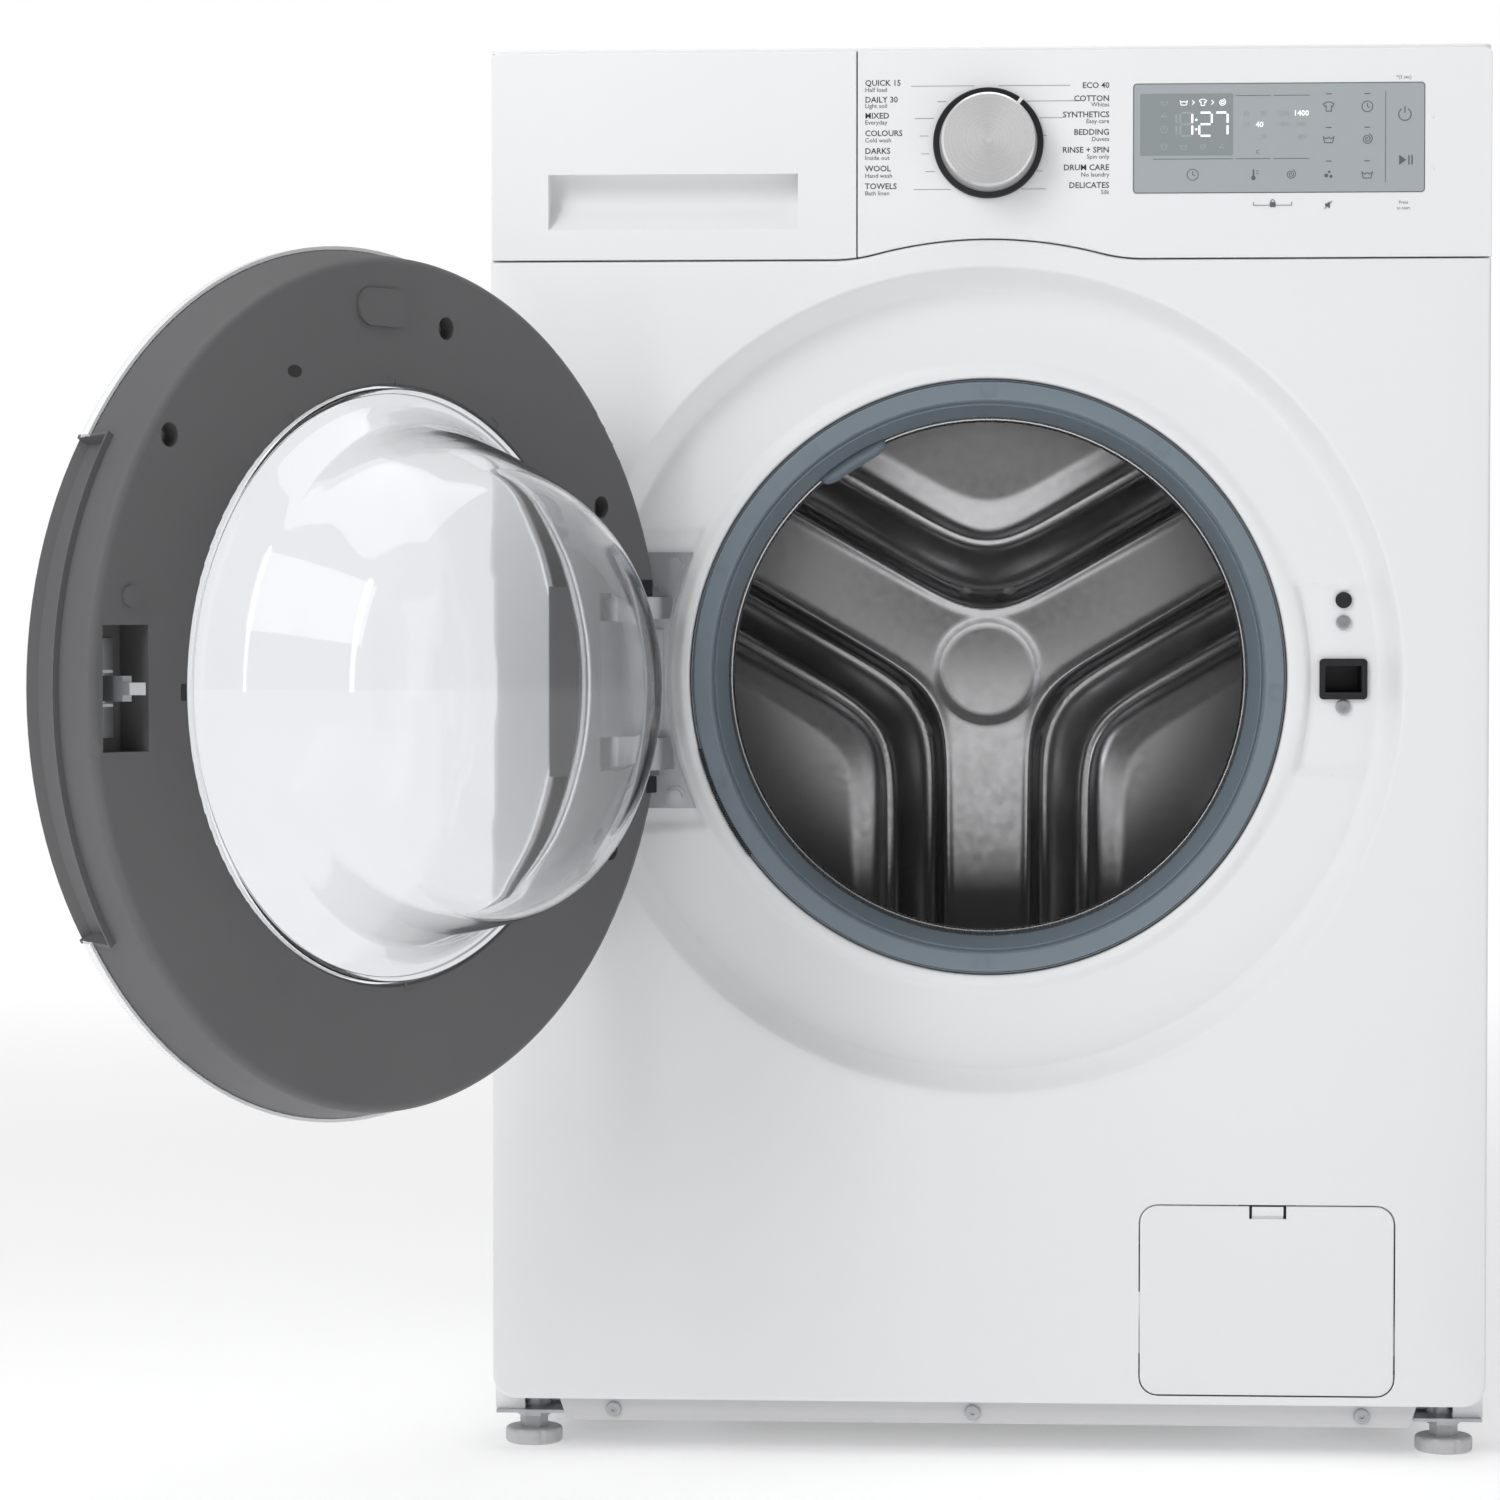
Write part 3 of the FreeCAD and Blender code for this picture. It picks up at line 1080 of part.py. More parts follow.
def motor_body():
    """Belt motor under the tub."""
    y = (62.0, 222.0)
    body = rod(motor_radius - 0.2, (motor_x, y[0], motor_z), (motor_x, y[1] - 12, motor_z))
    nose = rod(26.0, (motor_x, y[1] - 12, motor_z), (motor_x, y[1], motor_z))
    return joined(body, nose).cut(rod(motor_shaft_radius + shaft_clearance, (motor_x, y[1] - 40, motor_z),
                                      (motor_x, y[1] + 1, motor_z)))


pulley_y = (236.0, 250.0)


def motor_pulley():
    grooved = rod(motor_pulley_radius, (motor_x, pulley_y[0], motor_z), (motor_x, pulley_y[1], motor_z))
    cheeks = [rod(motor_pulley_radius + 3, (motor_x, y, motor_z), (motor_x, y + 1.0, motor_z))
              for y in (pulley_y[0] - 1.0, pulley_y[1])]
    shaft = rod(motor_shaft_radius, (motor_x, 184.0, motor_z), (motor_x, pulley_y[1] + 2, motor_z))
    return joined(grooved, shaft, *cheeks)


def drum_pulley():
    rim = tube(drum_pulley_radius, drum_pulley_radius - 6, (0, pulley_y[0] - 1, drum_z),
               (0, pulley_y[1] + 1, drum_z))
    hub = rod(26.0, (0, pulley_y[0], drum_z), (0, pulley_y[1], drum_z))
    arms = []
    for k in range(5):
        arm = box((20, drum_pulley_radius - 3), (pulley_y[0] + 3, pulley_y[1] - 5), (-11, 11))
        arm.rotate(V(0, 0, 0), V(0, 1, 0), 72.0 * k)
        arm.translate(V(0, 0, drum_z))
        arms.append(arm)
    return joined(rim, hub, *arms).cut(rod(shaft_radius, (0, 200, drum_z), (0, 270, drum_z)))


def loop_face(r1, r2, y):
    """The face inside a belt line around the drum pulley (r1) and the motor pulley (r2)."""
    c1, c2 = (0.0, drum_z), (motor_x, motor_z)
    far = math.hypot(c2[0] - c1[0], c2[1] - c1[1])
    toward = math.atan2(c2[1] - c1[1], c2[0] - c1[0])
    lean = math.acos((r1 - r2) / far)
    touch = []
    for sign in (1, -1):
        a = toward + sign * lean
        touch.append([(c[0] + r * math.cos(a), c[1] + r * math.sin(a)) for c, r in ((c1, r1), (c2, r2))])
    far1 = (c1[0] - r1 * math.cos(toward), c1[1] - r1 * math.sin(toward))
    far2 = (c2[0] + r2 * math.cos(toward), c2[1] + r2 * math.sin(toward))

    def at(p):
        return V(p[0], y, p[1])

    edges = [Part.LineSegment(at(touch[0][0]), at(touch[0][1])).toShape(),
             Part.Arc(at(touch[0][1]), at(far2), at(touch[1][1])).toShape(),
             Part.LineSegment(at(touch[1][1]), at(touch[1][0])).toShape(),
             Part.Arc(at(touch[1][0]), at(far1), at(touch[0][0])).toShape()]
    return Part.Face(Part.Wire(edges))


def drive_belt():
    low = pulley_y[0] + 1.0
    outer = loop_face(drum_pulley_radius + shaft_clearance + belt_thickness,
                      motor_pulley_radius + shaft_clearance + belt_thickness,
                      low).extrude(V(0, belt_width, 0))
    inner = loop_face(drum_pulley_radius + shaft_clearance, motor_pulley_radius + shaft_clearance, low - 1)
    return outer.cut(inner.extrude(V(0, belt_width + 2, 0)))


def drum_shell():
    """Stainless drum wall with its dished front and rolled mouth."""
    path = [(drum_mouth_radius + 3.5, drum_front_y + 4.0), (drum_mouth_radius, drum_front_y + 2.0),
            (drum_mouth_radius + 2.0, drum_front_y - 1.0), (drum_radius - 24, drum_front_y + 8),
            (drum_radius, drum_front_y + 34), (drum_radius, drum_back_y - 1.5)]
    return sheet_ring(path, [1.2, 1.2, 10.0, 22.0], drum_sheet, drum_z)


def spoke_press(shrink):
    """The raised three-spoke shape of the drum's back; shrink gives the hollow behind it."""
    top_y, low_y = drum_back_y - spoke_height + shrink, drum_back_y + shrink
    top, foot_half = spoke_half_width - shrink, spoke_half_width + drum_press - shrink
    hub = 50.0 - shrink
    reach = drum_radius - 10.0 - shrink
    solid = cone(hub, hub + drum_press, (0, top_y, drum_z), (0, low_y, drum_z))
    for k in range(3):
        near = [V(0, low_y, -foot_half), V(0, low_y, foot_half), V(0, top_y, top), V(0, top_y, -top),
                V(0, low_y, -foot_half)]
        far = [V(reach, low_y, -foot_half), V(reach, low_y, foot_half), V(reach, top_y, top),
               V(reach, top_y, -top), V(reach, low_y, -foot_half)]
        arm = Part.makeLoft([Part.makePolygon(near), Part.makePolygon(far)], True)
        arm.rotate(V(0, 0, 0), V(0, 1, 0), 90.0 + 120.0 * k)
        arm.translate(V(0, 0, drum_z))
        solid = solid.fuse(arm)
    return solid.common(rod(reach, (0, top_y - 1, drum_z), (0, low_y + 1, drum_z)))


def drum_back():
    """Pressed back of the drum with three raised spokes."""
    disc = ring([(0, drum_back_y), (drum_radius - 1.5, drum_back_y),
                 (drum_radius - 1.5, drum_back_y + drum_sheet),
                 (0, drum_back_y + drum_sheet)], drum_z)
    return disc.fuse(spoke_press(0)).cut(spoke_press(drum_sheet)).removeSplitter()


def drum_lifters():
    """Three paddles along the drum wall, between the spokes."""
    paddles = []
    for k in range(3):
        profile = [(-34.0, 0.0), (34.0, 0.0), (13.0, 44.0), (7.0, 50.0), (-7.0, 50.0), (-13.0, 44.0)]
        base = drum_radius - drum_sheet - 5.0
        inner = [(-29.0, -1.0), (29.0, -1.0), (10.0, 42.0), (5.0, 47.0), (-5.0, 47.0), (-10.0, 42.0)]
        faces = [Part.Face(Part.makePolygon([V(x, y, -base + z) for x, z in outline + outline[:1]]))
                 for outline, y in ((profile, drum_front_y + 50), (inner, drum_front_y + 52.5))]
        paddle = faces[0].extrude(V(0, 240, 0)).cut(faces[1].extrude(V(0, 235, 0)))
        paddle.rotate(V(0, 0, 0), V(0, 1, 0), 60.0 + 120.0 * k)
        paddle.translate(V(0, 0, drum_z))
        paddles.append(paddle.common(rod(drum_radius - drum_sheet, (0, -300, drum_z), (0, 300, drum_z))))
    return Part.makeCompound(paddles)


def drum_spider():
    """Cast spider with its shaft: three arms behind the drum's back."""
    y = drum_back_y + drum_sheet + 0.2
    arms = []
    for k in range(3):
        profile = [(0.0, y), (drum_radius - 16, y), (drum_radius - 16, y + 8), (60.0, y + 22), (0.0, y + 22)]
        face = Part.Face(Part.makePolygon([V(r, q, -16.0) for r, q in profile + profile[:1]]))
        arm = face.extrude(V(0, 0, 32.0))
        arm.rotate(V(0, 0, 0), V(0, 1, 0), 90.0 + 120.0 * k)
        arm.translate(V(0, 0, drum_z))
        arms.append(arm)
    hub = rod(40.0, (0, y, drum_z), (0, y + 26, drum_z))
    shaft = rod(shaft_radius, (0, y, drum_z), (0, pulley_y[1] + 6, drum_z))
    return joined(hub, shaft, *arms)


def damper_cylinders():
    pieces = []
    for side in (-1, 1):
        body = tube(damper_radius, damper_rod_radius + 0.5, (side * damper_x, 0, 74),
                    (side * damper_x, 0, 205))
        foot_block = box((side * damper_x - 6, side * damper_x + 6), (-9.8, 9.8), (40, 70))
        cap = rod(damper_radius, (side * damper_x, 0, 66), (side * damper_x, 0, 74))
        pieces.append(joined(body, foot_block, cap))
    return Part.makeCompound(pieces)


def damper_rods():
    lug_z = drum_z - math.sqrt(tub_outer ** 2 - (damper_x - 12) ** 2) - 26
    return Part.makeCompound([rod(damper_rod_radius, (side * damper_x, 0, 100), (side * damper_x, 0, lug_z))
                              for side in (-1, 1)])


def suspension_springs():
    """Two coil springs with hooked ends, from the tub's lugs to the shelves of the cabinet."""
    low, high = spring_z
    helix = Part.makeHelix((high - low) / spring_turns, high - low, spring_radius)
    start = V(spring_radius, 0, 0)
    section = Part.Wire(Part.makeCircle(spring_wire, start, V(0, 1, 0.12)))
    coil = Part.Wire(helix).makePipeShell([section], True, True)
    ends = []
    for z, tip in ((0.0, -2.0), (high - low, high - low + 8.5)):
        ends.append(rod(spring_wire, (spring_radius, 0, z), (0, 0, z)))
        ends.append(rod(spring_wire, (0, 0, z), (0, 0, tip)))
        ends.append(Part.makeSphere(spring_wire, V(0, 0, z)))
        ends.append(Part.makeSphere(spring_wire, V(spring_radius, 0, z)))
    spring = joined(coil, *ends)
    pieces = []
    for side in (-1, 1):
        piece = spring.copy()
        piece.translate(V(side * spring_x, spring_y, low))
        pieces.append(piece)
    return Part.makeCompound(pieces)


# ---- water parts ----
def filter_flap():
    """Service flap with a finger tab at its top and two hinge lugs near its foot."""
    x, z = flap_x, flap_z
    plate = rounded_block(x, z, flap_corner, (front_y, front_y + 2.5))
    rim = [e for e in plate.Edges if e.BoundBox.YMax < front_y + 0.01]
    plate = plate.makeFillet(1.0, rim)
    plate = plate.cut(box(flap_tab, (front_y - 1, front_y + 5), (z[1] - 7.8, z[1] + 1)))
    tongue = box((flap_tab[0] + 1.8, flap_tab[1] - 1.8), (front_y + 0.2, front_y + 2.0),
                 (z[1] - 5.6, z[1] - 0.4))
    link = box((flap_tab[0] + 1.8, flap_tab[1] - 1.8), (front_y + 1.9, front_y + 3.6),
               (z[1] - 14, z[1] - 1.5))
    pin_y, pin_z = front_y + 4.0, z[0] + flap_axis
    lugs = [box((lx, lx + 6), (front_y + 2.0, pin_y + 3), (pin_z - 3, pin_z + 3)) for lx in (x[0] + 5,
                                                                                             x[1] - 11)]
    flap = joined(plate, tongue, link, *lugs)
    return flap.cut(rod(flap_pin_radius + shaft_clearance, (x[0] + 4, pin_y, pin_z), (x[1] - 4, pin_y, pin_z))
                    .cut(box((x[0] + 12, x[1] - 12), (front_y, front_y + 20), (0, 200))))


flap_tab = (157.9, 180.2)


def flap_frame():
    """Dark frame behind the front panel around the flap, with the two hinge pins."""
    low, high = front_y + 1.8, front_y + 4.5
    outer = rounded_block((flap_x[0] - 9, flap_x[1] + 9), (flap_z[0] - 2.8, flap_z[1] + 8),
                          flap_corner + 2, (low, high))
    inner = rounded_block((flap_x[0] - 1.0, flap_x[1] + 1.0), (flap_z[0] - 1.0, flap_z[1] + 1.0),
                          flap_corner + 1.0, (low - 1, high + 1))
    keeper = box((flap_tab[0] - 6, flap_tab[1] + 6), (low + 2.2, high + 1.5), (flap_z[1] - 9, flap_z[1] + 4))
    pin_y, pin_z = front_y + 4.0, flap_z[0] + flap_axis
    pins, ears = [], []
    for side_x, tip_x in ((flap_x[0] - 3, flap_x[0] + 10.5), (flap_x[1] + 3, flap_x[1] - 10.5)):
        pins.append(rod(flap_pin_radius, (side_x, pin_y, pin_z), (tip_x, pin_y, pin_z)))
        ears.append(box(sorted((side_x, side_x + (3 if tip_x < side_x else -3))), (low, pin_y + 3),
                        (pin_z - 4, pin_z + 4)))
    return joined(outer.cut(inner), keeper, *ears, *pins)


def filter_cap():
    """Round filter cap with a grip bar."""
    y = front_y + 22.0
    cap = rod(filter_radius, (filter_x, y, filter_z), (filter_x, y + 9, filter_z))
    grip = box((filter_x - 26, filter_x + 26), (y - 12, y), (filter_z - 4, filter_z + 4))
    sieve = tube(22.0, 19.5, (filter_x, y + 9, filter_z), (filter_x, y + 70, filter_z))
    return joined(cap, grip.makeFillet(2.0, grip.Edges), sieve)


def pump_housing():
    """Drain pump: filter chamber, inlet and outlet branches, and the motor behind."""
    y = front_y + 31.5
    chamber = rod(filter_radius + 3.5, (filter_x, y, filter_z), (filter_x, y + 92, filter_z))
    motor = rod(30.0, (filter_x, y + 92, filter_z), (filter_x, y + 150, filter_z))
    inlet = rod(17.0, (filter_x - 60, y + 45, filter_z + 8), (filter_x - 20, y + 45, filter_z + 8))
    outlet = rod(11.5, (filter_x + 20, y + 80, filter_z), (filter_x + 56, y + 80, filter_z))
    stands = [box((filter_x - 22, filter_x + 22), (stand_y, stand_y + 10), (pump_shelf_z, filter_z - 25))
              for stand_y in (y + 14, y + 118)]
    body = joined(chamber, motor, inlet, outlet, *stands)
    body = body.cut(rod(24.0, (filter_x, y - 1, filter_z), (filter_x, y + 88, filter_z)))
    body = body.cut(rod(14.0, (filter_x - 61, y + 45, filter_z + 8), (filter_x - 10, y + 45, filter_z + 8)))
    body = body.cut(rod(8.5, (filter_x + 10, y + 80, filter_z), (filter_x + 57, y + 80, filter_z)))
    return body.cut(rod(3.1, (filter_x, y + 80, filter_z), (filter_x, y + 120, filter_z)))


def pump_impeller():
    y = front_y + 31.5 + 74
    hub = rod(6.0, (filter_x, y, filter_z), (filter_x, y + 10, filter_z))
    shaft = rod(3.0, (filter_x, y, filter_z), (filter_x, y + 44, filter_z))
    blades = []
    for k in range(6):
        blade = box((0, 18), (y, y + 10), (-1, 1))
        blade.rotate(V(0, 0, 0), V(0, 1, 0), 60.0 * k)
        blade.translate(V(filter_x, 0, filter_z))
        blades.append(blade)
    return joined(hub, shaft, *blades)


def hose(points, outer, inner):
    """A hose along straight runs joined by tangent arcs as large as the runs allow."""
    edges, last = [], V(*points[0])
    for k in range(1, len(points) - 1):
        a, b, c = V(*points[k - 1]), V(*points[k]), V(*points[k + 1])
        into, out = (a - b), (c - b)
        shorter = min(into.Length, out.Length)
        turn = math.pi - into.getAngle(out)
        reach = 0.45 * shorter
        radius = reach / math.tan(turn / 2)
        start, end = b + into.normalize() * reach, b + out.normalize() * reach
        mean = (into + out).normalize()
        middle = b + mean * (radius / math.cos(turn / 2) - radius)
        edges += [Part.LineSegment(last, start).toShape(), Part.Arc(start, middle, end).toShape()]
        last = end
    edges.append(Part.LineSegment(last, V(*points[-1])).toShape())
    path = Part.Wire(edges)
    first = (V(*points[1]) - V(*points[0])).normalize()
    skins = [path.makePipeShell([Part.Wire(Part.makeCircle(r, V(*points[0]), first))], True, False)
             for r in (outer, inner)]
    return skins[0].cut(skins[1])


def fill_hose():
    """Short bellows from the dispenser's outlet to the tub's port."""
    top = tray_z[0] - housing_gap - housing_wall - 12
    low = drum_z + math.sqrt(tub_inner ** 2 - port_at[0] ** 2) + 26
    body = tube(17.5, 13.5, (port_at[0], port_at[1], low), (port_at[0], port_at[1], top))
    waves = int((top - low - 6) / 6)
    for k in range(waves):
        z = low + 5 + 6 * k
        body = body.fuse(tube(20.0, 15.0, (port_at[0], port_at[1], z), (port_at[0], port_at[1], z + 2.5)))
    return body.removeSplitter()


def sump_hose():
    """Hose from the tub's drain to the pump."""
    y = front_y + 31.5 + 45
    start = (-20, tub_split_y + 40, sump_low_z - 12.2)
    end = (filter_x - 60.2, y, filter_z + 8)
    points = [start, (-20, tub_split_y + 40, sump_low_z - 62), (filter_x - 130, y, filter_z + 8), end]
    return hose(points, 17.0, 14.0)


def drain_hose():
    """Inner drain hose from the pump up to its outlet in the back plate."""
    x, y = filter_x + 56.2, front_y + 31.5 + 80
    points = [(x, y, filter_z), (x + 44, y, filter_z), (282.0, y + 40, 110), (282.0, 120.0, 180),
              (282.0, 195.0, 300), (282.0, 200.0, 500), (275.0, 200.0, 655), (180.0, 215.0, 722), (0.0,
                                                                                                   232.0, 752),
              (-150.0, 232.0, 752), (drain_at[0], 240.0, drain_at[1]), (drain_at[0], back_y + 12,
                                                                        drain_at[1])]
    inner = hose(points[:-2] + [(drain_at[0] + 20, 232.0, 748.0)], 11.0, 8.0)
    elbow = rod(12.5, (drain_at[0], 222.0, drain_at[1]), (drain_at[0], plate_y + 1.5, drain_at[1]))
    spout = rod(drain_radius, (drain_at[0], plate_y, drain_at[1]), (drain_at[0], back_y + 13, drain_at[1]))
    join = rod(11.5, (drain_at[0] + 34, 232.0, 749.5), (drain_at[0] + 5, 232.0, 743.5))
    bore = rod(7.5, (drain_at[0], 226.0, drain_at[1]), (drain_at[0], back_y + 14, drain_at[1]))
    return joined(inner, elbow, spout, join).cut(bore)


def inlet_valve():
    """Solenoid valve whose threaded nipple stands out of the back plate."""
    x, z = inlet_at
    nipple = rod(inlet_thread_radius, (x, plate_y - 20, z), (x, plate_y + 17, z))
    collar = hexagon(19.0, (x, plate_y - 14, z), (x, plate_y - sheet - 0.2, z))
    block = box((x - 16, x + 16), (plate_y - 46, plate_y - 14), (z - 16, z + 16))
    coils = [box((x - 14 + 30 * k - 16, x + 12 + 30 * k - 16), (plate_y - 42, plate_y - 18), (z - 16, z + 34))
             for k in (0, 1)]
    branch = rod(7.0, (x, plate_y - 66, z), (x, plate_y - 45, z))
    body = joined(nipple, collar, block, branch, *coils)
    bore = rod(8.0, (x, plate_y - 12, z), (x, plate_y + 18, z))
    return body.cut(bore).cut(rod(4.5, (x, plate_y - 67, z), (x, plate_y - 40, z)))


def power_gland():
    """Gland of the mains lead in the back plate; the lead itself is not part of the model."""
    x, z = gland_at
    flange = rod(11.0, (x, plate_y, z), (x, plate_y + 2.5, z))
    barrel = rod(7.8, (x, plate_y - 16, z), (x, plate_y + 4.0, z))
    nut = hexagon(12.0, (x, plate_y - 9, z), (x, plate_y - sheet - 0.2, z))
    return joined(flange, barrel, nut).cut(rod(4.0, (x, plate_y - 17, z), (x, plate_y + 5, z)))


def transit_caps():
    pieces = []
    for x, z in transit_places:
        cap = rod(12.5, (x, plate_y, z), (x, plate_y + 2.0, z))
        plug = rod(transit_radius - 0.2, (x, plate_y - 9, z), (x, plate_y + 0.5, z))
        pieces.append(joined(cap, plug).cut(rod(5.5, (x, plate_y - 10, z), (x, plate_y - 1, z))))
    return Part.makeCompound(pieces)


makers = {
    "cabinet_wrap": cabinet_wrap, "rear_cover": rear_cover, "top_cover": top_cover,
    "front_panel": front_panel, "control_panel": control_panel, "display_window": display_window,
    "display_board": display_board, "knob_ring": knob_ring, "knob_cap": knob_cap, "kick_strip": kick_strip,
    "cabinet_screws": cabinet_screws, "base_frame": base_frame, "foot_nuts": foot_nuts,
    "foot_front_left": lambda: foot(-1, -1), "foot_front_right": lambda: foot(1, -1),
    "foot_rear_left": lambda: foot(-1, 1), "foot_rear_right": lambda: foot(1, 1),
    "drawer_front": drawer_front, "drawer_tray": drawer_tray, "dispenser_housing": dispenser_housing,
    "door_inner_ring": lambda: opened(door_inner_ring()), "door_outer_ring": lambda: opened(door_outer_ring()),
    "door_cover": lambda: opened(door_cover()), "door_glass": lambda: opened(door_glass()),
    "door_screws": door_screws, "hinge_bracket": hinge_bracket, "hinge_pin": hinge_pin,
    "door_lock": door_lock, "door_buffer": door_buffer, "latch_plate": latch_plate, "latch_hook": latch_hook,
    "gasket": gasket, "gasket_clamp": gasket_clamp, "tub_front": tub_front, "tub_rear": tub_rear,
    "bearings": bearings, "heater": heater, "counterweight": counterweight, "motor_body": motor_body,
    "motor_pulley": motor_pulley, "drum_pulley": drum_pulley, "drive_belt": drive_belt, "drum_shell": drum_shell,
    "drum_back": drum_back, "drum_lifters": drum_lifters, "drum_spider": drum_spider,
    "damper_cylinders": damper_cylinders, "damper_rods": damper_rods, "suspension_springs": suspension_springs,
    "filter_flap": filter_flap, "flap_frame": flap_frame, "filter_cap": filter_cap, "pump_housing": pump_housing,
    "pump_impeller": pump_impeller, "fill_hose": fill_hose, "sump_hose": sump_hose, "drain_hose": drain_hose,
    "inlet_valve": inlet_valve, "power_gland": power_gland, "transit_caps": transit_caps,
}

os.makedirs("parts", exist_ok=True)
for name, make in makers.items():
    shape = make()
    solids = shape.Solids
    sound = shape.isValid() and solids and all(s.isValid() and s.Volume > 0 for s in solids)
    size = shape.BoundBox
    print(f"{name:20s} solids {len(solids):2d} {'ok ' if sound else 'BAD'} volume {shape.Volume / 1000:9.1f} cm3  "
          f"x {size.XMin:7.1f} {size.XMax:7.1f} y {size.YMin:7.1f} {size.YMax:7.1f} z {size.ZMin:6.1f} {size.ZMax:6.1f}")
    shape.exportStep(f"parts/{name}.step")
print(len(makers), "nodes")
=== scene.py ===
import json
import math

import bmesh
import bpy
import numpy as np
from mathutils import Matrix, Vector


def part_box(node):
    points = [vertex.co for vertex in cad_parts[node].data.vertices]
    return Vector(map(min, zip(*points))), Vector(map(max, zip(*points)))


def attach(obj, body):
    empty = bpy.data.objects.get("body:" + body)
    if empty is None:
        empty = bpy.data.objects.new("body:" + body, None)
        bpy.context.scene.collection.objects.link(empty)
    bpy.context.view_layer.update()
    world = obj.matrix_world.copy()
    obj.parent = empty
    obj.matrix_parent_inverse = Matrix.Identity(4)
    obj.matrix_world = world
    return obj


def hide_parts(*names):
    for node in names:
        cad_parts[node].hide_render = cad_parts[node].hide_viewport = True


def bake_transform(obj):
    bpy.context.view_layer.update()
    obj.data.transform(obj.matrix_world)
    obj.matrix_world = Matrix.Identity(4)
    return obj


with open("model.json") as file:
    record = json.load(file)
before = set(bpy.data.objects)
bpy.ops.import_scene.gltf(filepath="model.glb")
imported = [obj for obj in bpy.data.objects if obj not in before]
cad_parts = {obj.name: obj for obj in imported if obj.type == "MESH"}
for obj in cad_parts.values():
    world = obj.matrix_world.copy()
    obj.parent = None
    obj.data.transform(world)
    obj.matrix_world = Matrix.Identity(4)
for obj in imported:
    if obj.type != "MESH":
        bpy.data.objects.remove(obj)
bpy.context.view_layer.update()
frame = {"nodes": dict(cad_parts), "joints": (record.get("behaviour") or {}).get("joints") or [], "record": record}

# A front load washing machine with its door open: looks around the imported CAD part.
# Lengths in the dictionaries are millimetres; meshes are metres in the part's own frame.
mm = 0.001
joints = {joint["name"]: joint for joint in frame["joints"]}
hingeAt = np.array(joints["door_hinge"]["pos_m"])
openTurn = math.radians(joints["door_hinge"]["range_deg"][0])
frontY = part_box("drawer_front")[0].y
doorZ = hingeAt[2]
drumZ = joints["drum_spin"]["pos_m"][2]
flatY = hingeAt[1] + 27 * mm  # the closed door's inner face

# ---- camera first, so that every other view can move it
cameraSet = {"back": 2.6, "height": 0.5045, "lens": 103.5, "down": 1.688, "left": 3.151}
cameraData = bpy.data.cameras.new("camera")
cameraData.lens = cameraSet["lens"]
camera = bpy.data.objects.new("camera", cameraData)
camera.location = (0, frontY - cameraSet["back"], cameraSet["height"])
camera.rotation_euler = (math.radians(90 - cameraSet["down"]), 0, math.radians(cameraSet["left"]))
bpy.context.scene.collection.objects.link(camera)
bpy.context.scene.camera = camera
print("camera set")


# ---- small tools for numpy surfaces
def gridFaces(rows, cols, closeRows=False, closeCols=False):
    # quad faces of a rows x cols grid of points, each side joined round if asked
    i = np.arange(rows if closeRows else rows - 1)[:, None]
    j = np.arange(cols if closeCols else cols - 1)[None, :]
    nextI, nextJ = (i + 1) % rows, (j + 1) % cols
    corners = [i * cols + j, i * cols + nextJ, nextI * cols + nextJ, nextI * cols + j]
    return np.stack([np.broadcast_to(c, (i.size, j.size)) for c in corners], -1).reshape(-1, 4)


def makeObject(name, points, faces):
    mesh = bpy.data.meshes.new(name)
    mesh.from_pydata(np.asarray(points, float).reshape(-1, 3).tolist(), [], [list(f) for f in faces])
    made = bpy.data.objects.new(name, mesh)
    bpy.context.scene.collection.objects.link(made)
    return made


def tidyMesh(piece, sharp=35.0, reach=0.002):
    # seams and poles are merged, stray edges go, faces turn outwards, then smooth with sharp creases kept
    work = bmesh.new()
    work.from_mesh(piece.data)
    bmesh.ops.remove_doubles(work, verts=work.verts, dist=reach * mm)
    bmesh.ops.delete(work, geom=[e for e in work.edges if not e.link_faces], context="EDGES")
    bmesh.ops.recalc_face_normals(work, faces=work.faces)
    work.to_mesh(piece.data)
    work.free()
    smoothMesh(piece, sharp)
    return piece


def smoothMesh(piece, sharp=35.0):
    piece.data.polygons.foreach_set("use_smooth", np.ones(len(piece.data.polygons), bool))
    piece.data.set_sharp_from_angle(angle=math.radians(sharp))
    piece.data.update()


def applyModifiers(piece):
    # the modifiers' result becomes the piece's own mesh
    graph = bpy.context.evaluated_depsgraph_get()
    made = bpy.data.meshes.new_from_object(piece.evaluated_get(graph), depsgraph=graph)
    piece.modifiers.clear()
    piece.data = made


def roundPath(points, reaches, steps=6):
    # each inner corner becomes a quadratic curve that starts and ends its reach from the corner
    points = np.asarray(points, float)
    t = np.linspace(0, 1, steps)[:, None]
    out = [points[:1]]
    for k, reach in enumerate(reaches, 1):
        back, ahead = points[k - 1] - points[k], points[k + 1] - points[k]
        longBack, longAhead = np.linalg.norm(back), np.linalg.norm(ahead)
        start = points[k] + back / longBack * min(reach, 0.48 * longBack)
        end = points[k] + ahead / longAhead * min(reach, 0.48 * longAhead)
        out.append((1 - t) ** 2 * start + 2 * t * (1 - t) * points[k] + t**2 * end)
    return np.concatenate(out + [points[-1:]])


def walled(path, wall):
    # a closed profile: the path, and back along the same path moved sideways by the wall
    step = np.gradient(path, axis=0)
    side = np.stack([-step[:, 1], step[:, 0]], 1) / np.linalg.norm(step, axis=1)[:, None]
    return np.concatenate([path, (path + wall * side)[::-1]])


